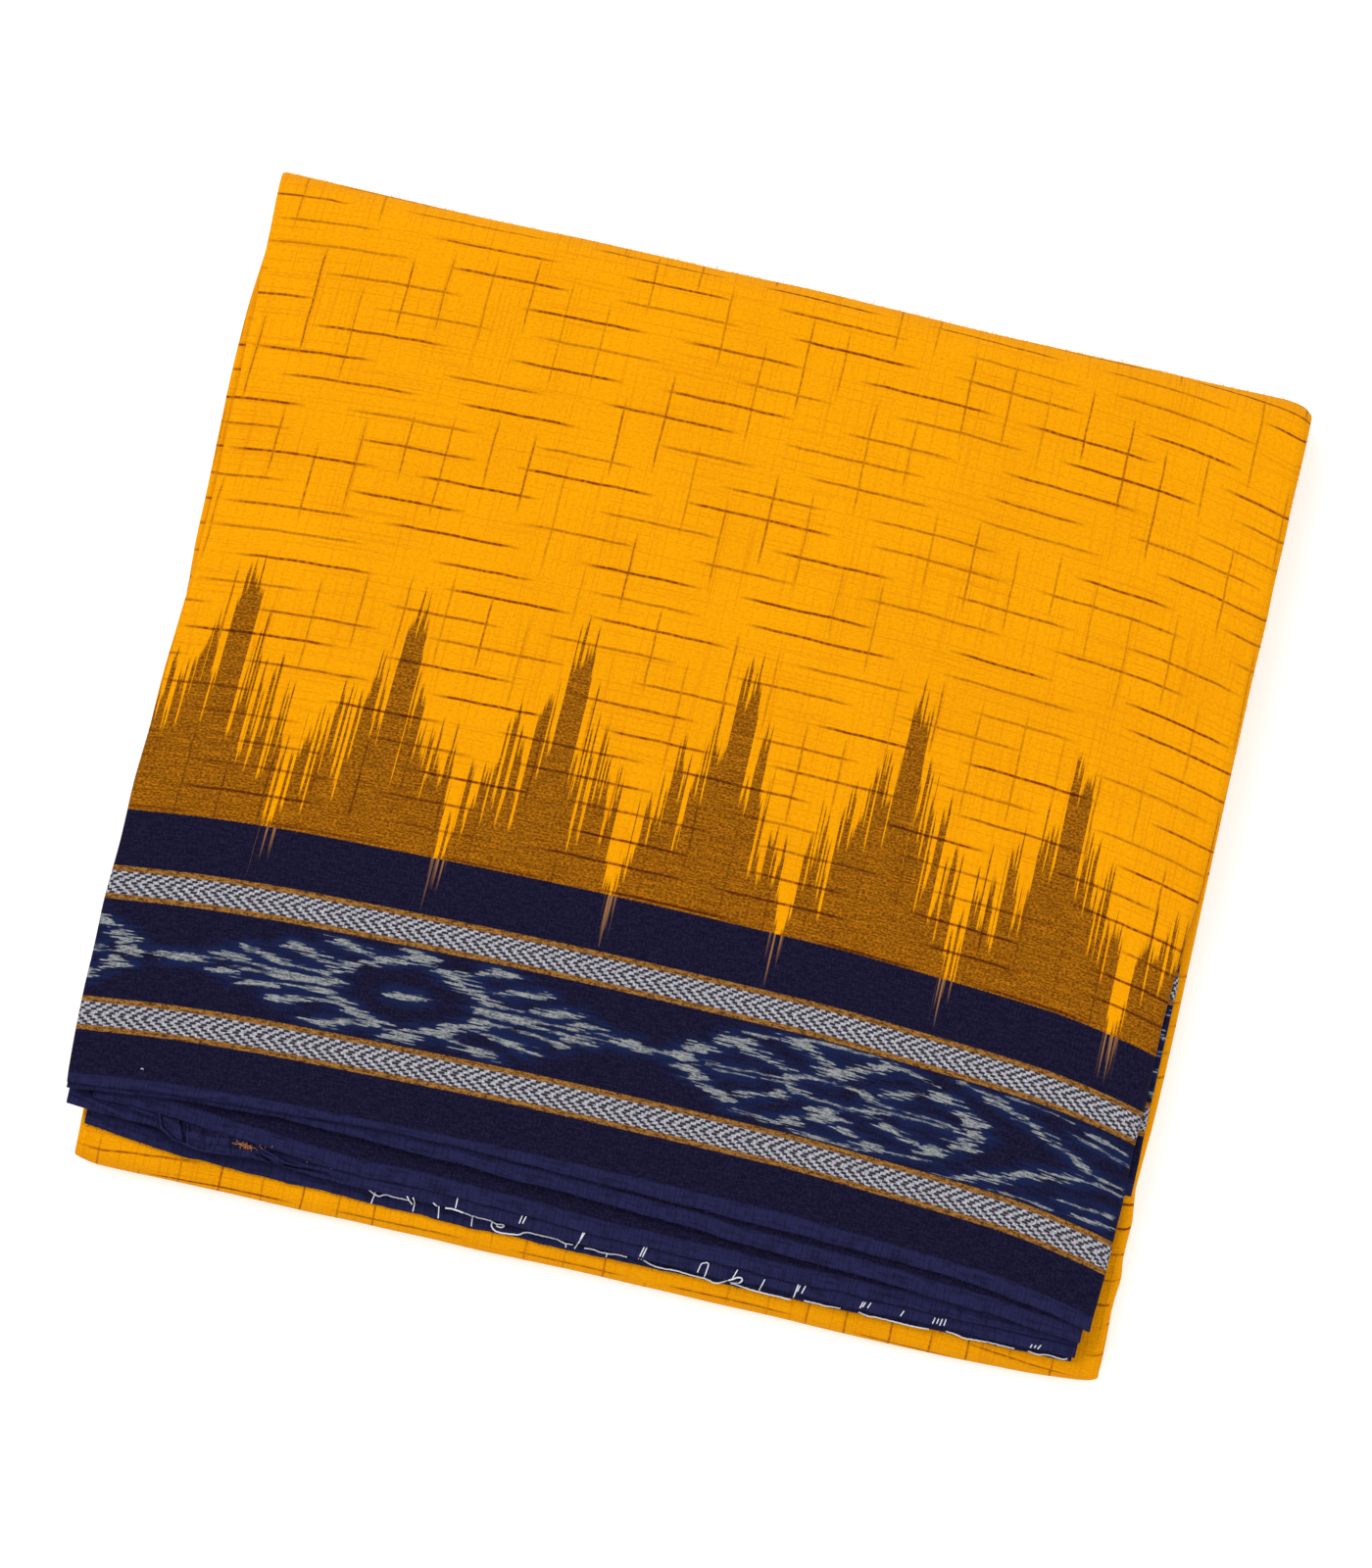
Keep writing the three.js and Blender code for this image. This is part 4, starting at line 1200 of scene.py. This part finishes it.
for number, (name, rows, by, share) in enumerate(BETWEEN_LEAVES):
    selvedge_leaf(name, held_back(rows, by), share, (-152.0, 147.5), 4.0 + number, 13.0, 0.35)
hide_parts("selvedge_leaf_2")
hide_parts("selvedge_leaf_3")
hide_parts("selvedge_leaf_4")

# %% [markdown]
# ## The white thread at the edge
# A white extra weft was carried from figure to figure along the selvedge and caught in at each
# place. It lies on the lowest leaves as a thin line with short stitches standing across it.
# Each stretch is a fine tube swept along points that lie on the leaf below.


# %% Thin threads swept along points
def on_leaves(x, y, lift_by):
    """Height of the selvedge leaf that shows at a place, plus a little."""
    on_third = y > through(THIRD_SELVEDGE, x) - 0.2
    share = np.where(on_third, 0.50, 0.10)
    return selvedge_height(share, x, y) + CLOTH / MM + lift_by


def smooth_line(points):
    """Points every half millimetre on a curve through the given ones."""
    points = np.asarray(points, dtype=float)
    if len(points) == 2:
        return np.linspace(points[0], points[1], 5)
    spans = []
    padded = np.vstack([2 * points[0] - points[1], points, 2 * points[-1] - points[-2]])
    for a, b, c, d in zip(padded, padded[1:], padded[2:], padded[3:]):
        count = max(2, int(np.linalg.norm(c - b) / 0.5))
        t = np.linspace(0.0, 1.0, count, endpoint=False)[:, None]
        spans.append(0.5 * (2 * b + (c - a) * t + (2 * a - 5 * b + 4 * c - d) * t**2
                            + (3 * b - a - 3 * c + d) * t**3))
    return np.vstack([*spans, points[-1]])


def tube(line, radius, sides=6, taper=0.0):
    """Points and faces of a closed tube along a line of plan points."""
    count = len(line)
    ahead = np.gradient(line, axis=0)
    ahead /= np.linalg.norm(ahead, axis=1, keepdims=True) + 1e-9
    aside = np.cross(ahead, [0.0, 0.0, 1.0])
    aside /= np.linalg.norm(aside, axis=1, keepdims=True) + 1e-9
    above = np.cross(aside, ahead)
    turn = np.linspace(0.0, 2 * math.pi, sides, endpoint=False)
    size = radius * (1.0 - taper * np.linspace(0.0, 1.0, count))[:, None, None]
    rings = line[:, None] + size * (np.cos(turn)[None, :, None] * aside[:, None]
                                    + np.sin(turn)[None, :, None] * above[:, None])
    faces = []
    for r in range(count - 1):
        for k in range(sides):
            n = (k + 1) % sides
            faces.append((r * sides + k, (r + 1) * sides + k, (r + 1) * sides + n,
                          r * sides + n))
    faces.append(tuple(range(sides)))
    faces.append(tuple((count - 1) * sides + k for k in reversed(range(sides))))
    return rings.reshape(-1, 3), faces


def thread_piece(name, tubes, material):
    points, faces = [], []
    for tube_points, tube_faces in tubes:
        start = sum(len(p) for p in points)
        faces += [tuple(start + k for k in face) for face in tube_faces]
        points.append(tube_points)
    mesh = bpy.data.meshes.new(name)
    mesh.from_pydata(in_frame(np.vstack(points)).tolist(), [], faces)
    mesh.materials.append(material)
    mesh.polygons.foreach_set("use_smooth", np.ones(len(faces), dtype=bool))
    mesh.update()
    piece = bpy.data.objects.new(name, mesh)
    bpy.context.collection.objects.link(piece)
    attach(piece, "root")
    print(name, "tubes", len(tubes), "faces", len(faces))
    return piece


# %% [markdown]
# Loose threads are too thin for a woven pattern, so their finish only mottles between two
# shades of one colour and roughens the surface.


# %% A finish for loose threads
def thread_finish(name, colour, other):
    material = bpy.data.materials.new(name)
    material.use_nodes = True
    tree = material.node_tree
    shader = tree.nodes["Principled BSDF"]
    shader.inputs["Roughness"].default_value = 0.85
    shader.inputs["Specular IOR Level"].default_value = 0.1
    where = tree.nodes.new("ShaderNodeTexCoord")
    mottle = tree.nodes.new("ShaderNodeTexNoise")
    mottle.inputs["Scale"].default_value = 900.0
    tree.links.new(where.outputs["Object"], mottle.inputs["Vector"])
    blend = tree.nodes.new("ShaderNodeMix")
    blend.data_type = "RGBA"
    blend.inputs[6].default_value = (*colour, 1.0)
    blend.inputs[7].default_value = (*other, 1.0)
    tree.links.new(mottle.outputs[0], blend.inputs[0])
    tree.links.new(blend.outputs[2], shader.inputs["Base Color"])
    bump = tree.nodes.new("ShaderNodeBump")
    bump.inputs["Strength"].default_value = 0.4
    bump.inputs["Distance"].default_value = 0.0002
    tree.links.new(mottle.outputs[0], bump.inputs["Height"])
    tree.links.new(bump.outputs[0], shader.inputs["Normal"])
    return material


WHITE_WEFT = thread_finish("white_weft", (0.78, 0.78, 0.80), (0.42, 0.42, 0.52))

# %% [markdown]
# The thread's course and its stitches are lists of places along the edge, so
# that each loop and each pair of ticks sits where the weaver left it.

# %% The carried thread and its stitches
THREAD_RADIUS, STITCH_RADIUS = 0.23, 0.19
CARRIED = [
    [(-66, -140.2), (-64, -141), (-62.8, -141.3), (-61, -140.4), (-58, -140.6), (-54, -140.6),
     (-52.6, -141.6)],
    [(-42.8, -140.4), (-39.5, -140.3), (-36, -140.9), (-32, -141.2), (-28.5, -141.4),
     (-28.4, -142.6), (-27, -143.9), (-24, -144.1), (-20, -143.6), (-18.5, -142.6),
     (-17, -142.3), (-13, -142.4), (-9, -142.4), (-6, -143.1), (-3.5, -143)],
    [(-28.6, -141.4), (-26.8, -141.9), (-25.4, -141.6), (-24.6, -141.9), (-25.5, -142.6),
     (-26.9, -142.4)],
    [(0, -143.2), (3, -143.1), (5, -143.4), (8, -143.3), (10, -143), (13, -143.1)],
    [(17.8, -143), (20, -143.7), (23, -144.2), (28, -143.9), (32, -144.3), (37, -144.4),
     (39.5, -145), (41.5, -144.6), (44, -143.2), (46.8, -141.8), (47.8, -142.4),
     (46.8, -143.6), (44.5, -143.9), (46.5, -144.2), (50, -144.6), (55, -144.9), (63, -145)],
    [(67, -144.5), (70, -144.5), (74, -144.6), (78, -144.4)],
    [(83.5, -144.3), (86, -144.8), (90, -144.7), (96, -144.9), (100, -145), (105, -144.8)],
    [(110, -144.3), (113, -144.6), (116, -145.1), (120, -144.9), (124, -144.8), (131, -145)],
    [(135, -144.8), (138, -145.2), (141, -144.7), (145, -145), (147, -144.6)],
]
STITCHES = [
    [(-64, -140.2), (-64.6, -144)], [(-54.6, -139.4), (-53.4, -141)],
    [(-52.8, -139.4), (-52, -141), (-52, -143.6)], [(-46.6, -139.7), (-45.2, -140.4)],
    [(-44.7, -140.4), (-44.2, -144)], [(-39.8, -136.3), (-39.8, -139.9)],
    [(-34.4, -141), (-34.1, -144.2)], [(-19.9, -137.3), (-20.4, -140.2)],
    [(-18.7, -137.3), (-19.4, -140)], [(-0.5, -137.9), (-1.6, -141), (-2.8, -144)],
    [(-1.2, -138.2), (-1.8, -141.5)], [(-5.6, -142.9), (-5.4, -144.3)],
    [(7, -143.4), (6.9, -144.5)], [(17.4, -138.7), (16.4, -143)], [(18.2, -138.7), (17.2, -143)],
    [(34.3, -143), (34.9, -140.4), (35.8, -139.8), (37, -139.9), (36.6, -144.2)],
    [(45.8, -139.7), (44.8, -142.6)], [(54.3, -140.7), (53.3, -144.4)],
    [(64.3, -140), (63.7, -144.2)], [(64.9, -140.2), (64.4, -142.2)],
    [(66.5, -140), (65.8, -142.5)], [(84.2, -141), (83.6, -143)], [(84.9, -141), (84.3, -142.6)],
    [(86.5, -140.7), (85.8, -142.6)], [(96.6, -141), (95.8, -142.8)],
    [(106, -141), (105.6, -142.8)], [(107.1, -141.1), (106.8, -142.6)],
    [(108.2, -140.9), (107.8, -143)], [(109.3, -140.8), (109, -142.8)],
    [(135.8, -142.6), (135.4, -143.6)], [(137, -142.6), (136.6, -143.4)],
    [(138.4, -142.2), (137.6, -143.6)],
]


def laid(path, lift_by):
    """A thread's line along a path, resting on the leaf below it."""
    line = smooth_line([(x, y, 0.0) for x, y in path])
    line[:, 2] = on_leaves(line[:, 0], line[:, 1], lift_by)
    line[:, 1] += 0.12 * ripple(line[:, 0], 0.9, 41.0)
    return line


white_tubes = [tube(laid(path, 0.32), THREAD_RADIUS) for path in CARRIED]
white_tubes += [tube(laid(path, 0.22), STITCH_RADIUS) for path in STITCHES]
carried_thread = thread_piece("carried_thread", white_tubes, WHITE_WEFT)

# %% [markdown]
# Small things that make it worn: a fleck of lint on the border, a few broken amber threads
# caught in the crumple, and fine fluff where the folds rub.

# %% Lint, caught threads and fluff
chance = np.random.default_rng(7)
AMBER_FLUFF = thread_finish("amber_fluff", (0.74, 0.28, 0.004), (0.5, 0.16, 0.003))
CAUGHT_THREAD = thread_finish("caught_thread", (0.55, 0.22, 0.05), (0.24, 0.08, 0.03))
NAVY_FLUFF = thread_finish("navy_fluff", (0.02, 0.02, 0.07), (0.01, 0.01, 0.04))


def curl(start, heading, length, bend, rise=0.3):
    """A short curved fibre: where it starts, which way it goes and how it bends."""
    line, place, way = [np.array(start, dtype=float)], np.array(start, dtype=float), heading
    for k in range(5):
        way += bend * 0.3
        place = place + np.array([math.cos(way), math.sin(way), rise]) * length / 5
        line.append(place)
    return np.array(line)


lint_z = float(top_height(-139.0, -119.3)) + 0.3
lint = [tube(curl((-139.2 + dx, -119.4, lint_z), 1.4 + dx, 0.5, b), 0.11, 5, 0.6)
        for dx, b in ((0.0, 0.5), (0.15, -1.9), (-0.1, 2.6))]
lint_fleck = thread_piece("lint_fleck", lint, WHITE_WEFT)

caught = []
for middle_x, middle_y, wide, count in ((-104.6, -135.1, 1.9, 46), (-99.0, -133.9, 1.5, 6),
                                        (-77.0, -135.4, 3.6, 24)):
    for k in range(count):
        x, y = middle_x + chance.normal(0, wide), middle_y + chance.normal(0, 0.32)
        z = float(selvedge_height(0.5, x, y) + crumpled(np.array(x), np.array(y))[0]) + 0.6
        caught.append(tube(curl((x, y, z), chance.uniform(-0.5, 0.5), chance.uniform(0.5, 1.5),
                                chance.normal(0, 0.9), 0.05), 0.09, 5, 0.5))
caught_threads = thread_piece("caught_threads", caught, CAUGHT_THREAD)

fluff = []
for x in np.arange(-155.0, 155.0, 0.8):
    x = x + chance.uniform(-0.4, 0.4)
    edge_y = float(through(BACK_EDGE, x))
    fluff.append(tube(curl((x, edge_y - 0.35, 14.0 + chance.uniform(-6, 6)),
                           math.pi / 2 + chance.normal(0, 0.7), chance.uniform(0.6, 2.0),
                           chance.normal(0, 1.5), 0.1), 0.07, 4, 0.6))
for y in np.arange(-20.0, 146.0, 1.4):
    y = y + chance.uniform(-0.6, 0.6)
    edge_x = float(through(UPPER_RIGHT, y))
    fluff.append(tube(curl((edge_x - 0.3, y, 24.0 + chance.uniform(-2, 2)),
                           chance.normal(0, 0.8), chance.uniform(0.5, 1.4),
                           chance.normal(0, 1.5), 0.1), 0.06, 4, 0.6))
fold_fluff = thread_piece("fold_fluff", fluff, AMBER_FLUFF)

navy_bits = []
for rows, low, high, share in ((TOP_SELVEDGE, -159, 151, 1.05), (SECOND_SELVEDGE, -157, 148, 0.88),
                               (THIRD_SELVEDGE, -156, 148, 0.5), (FOURTH_SELVEDGE, -151, 147, 0.1)):
    for x in np.arange(low, high, 1.6):
        x = x + chance.uniform(-0.8, 0.8)
        y = float(through(rows, x)) + 0.4
        z = float(selvedge_height(share, x, y)) + 0.1
        navy_bits.append(tube(curl((x, y, z), -math.pi / 2 + chance.normal(0, 0.8),
                                   chance.uniform(0.6, 1.6), chance.normal(0, 1.6), 0.0),
                              0.08, 4, 0.6))
snag_z = float(top_height(-17.5, -58.8)) + 0.25
for x, y, way, length, bend in ((-19.6, -60.4, 1.3, 3.4, 0.5), (-18.6, -57.6, 0.2, 3.0, -0.9),
                                (-16.0, -59.4, 1.9, 2.4, 0.8)):
    navy_bits.append(tube(curl((x, y, snag_z), way, length, bend, 0.02), 0.13, 5, 0.5))
selvedge_fluff = thread_piece("selvedge_fluff", navy_bits, NAVY_FLUFF)

# %% [markdown]
# At the right edge a sliver of an inner panel's border peeks out beside the top panel.

# %% The sliver at the right
SLIVER_RADIUS, SLIVER_INWARDS, SLIVER_DROP = 1.3, 4.0, 5.2
sliver_y = np.linspace(-93.5, -23.0, 48)
sliver_out = through([(-94, 2.0), (-60, 1.6), (-30, 1.5), (-23, 0.2)], sliver_y)
sliver_edge = through(UPPER_RIGHT, sliver_y) + sliver_out + 0.15 * ripple(sliver_y, 8.0, 2.0)
turn_angles = np.linspace(0.0, math.pi, 7)
points = np.zeros((len(sliver_y), 9, 3))
cloth = np.zeros((len(sliver_y), 9, 2))
for r, (y, edge) in enumerate(zip(sliver_y, sliver_edge)):
    bulge = SLIVER_RADIUS * np.sin(turn_angles)
    rise = SLIVER_RADIUS * np.cos(turn_angles)
    points[r, 1:-1, 0] = edge - SLIVER_RADIUS + bulge
    points[r, [0, -1], 0] = edge - SLIVER_RADIUS - SLIVER_INWARDS
    points[r, :, 1] = y
    points[r, :, 2] = top_height(edge, y) - SLIVER_DROP + np.pad(rise, 1, mode="edge")
    cloth[r, :, 0] = 40.0 + np.linspace(0.0, 9.0, 9)
    cloth[r, :, 1] = y - 30.8
sliver = cloth_piece("right_sliver", points, cloth, [AMBER_FIELD, NAVY_BORDER])
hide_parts("right_inner_fold")
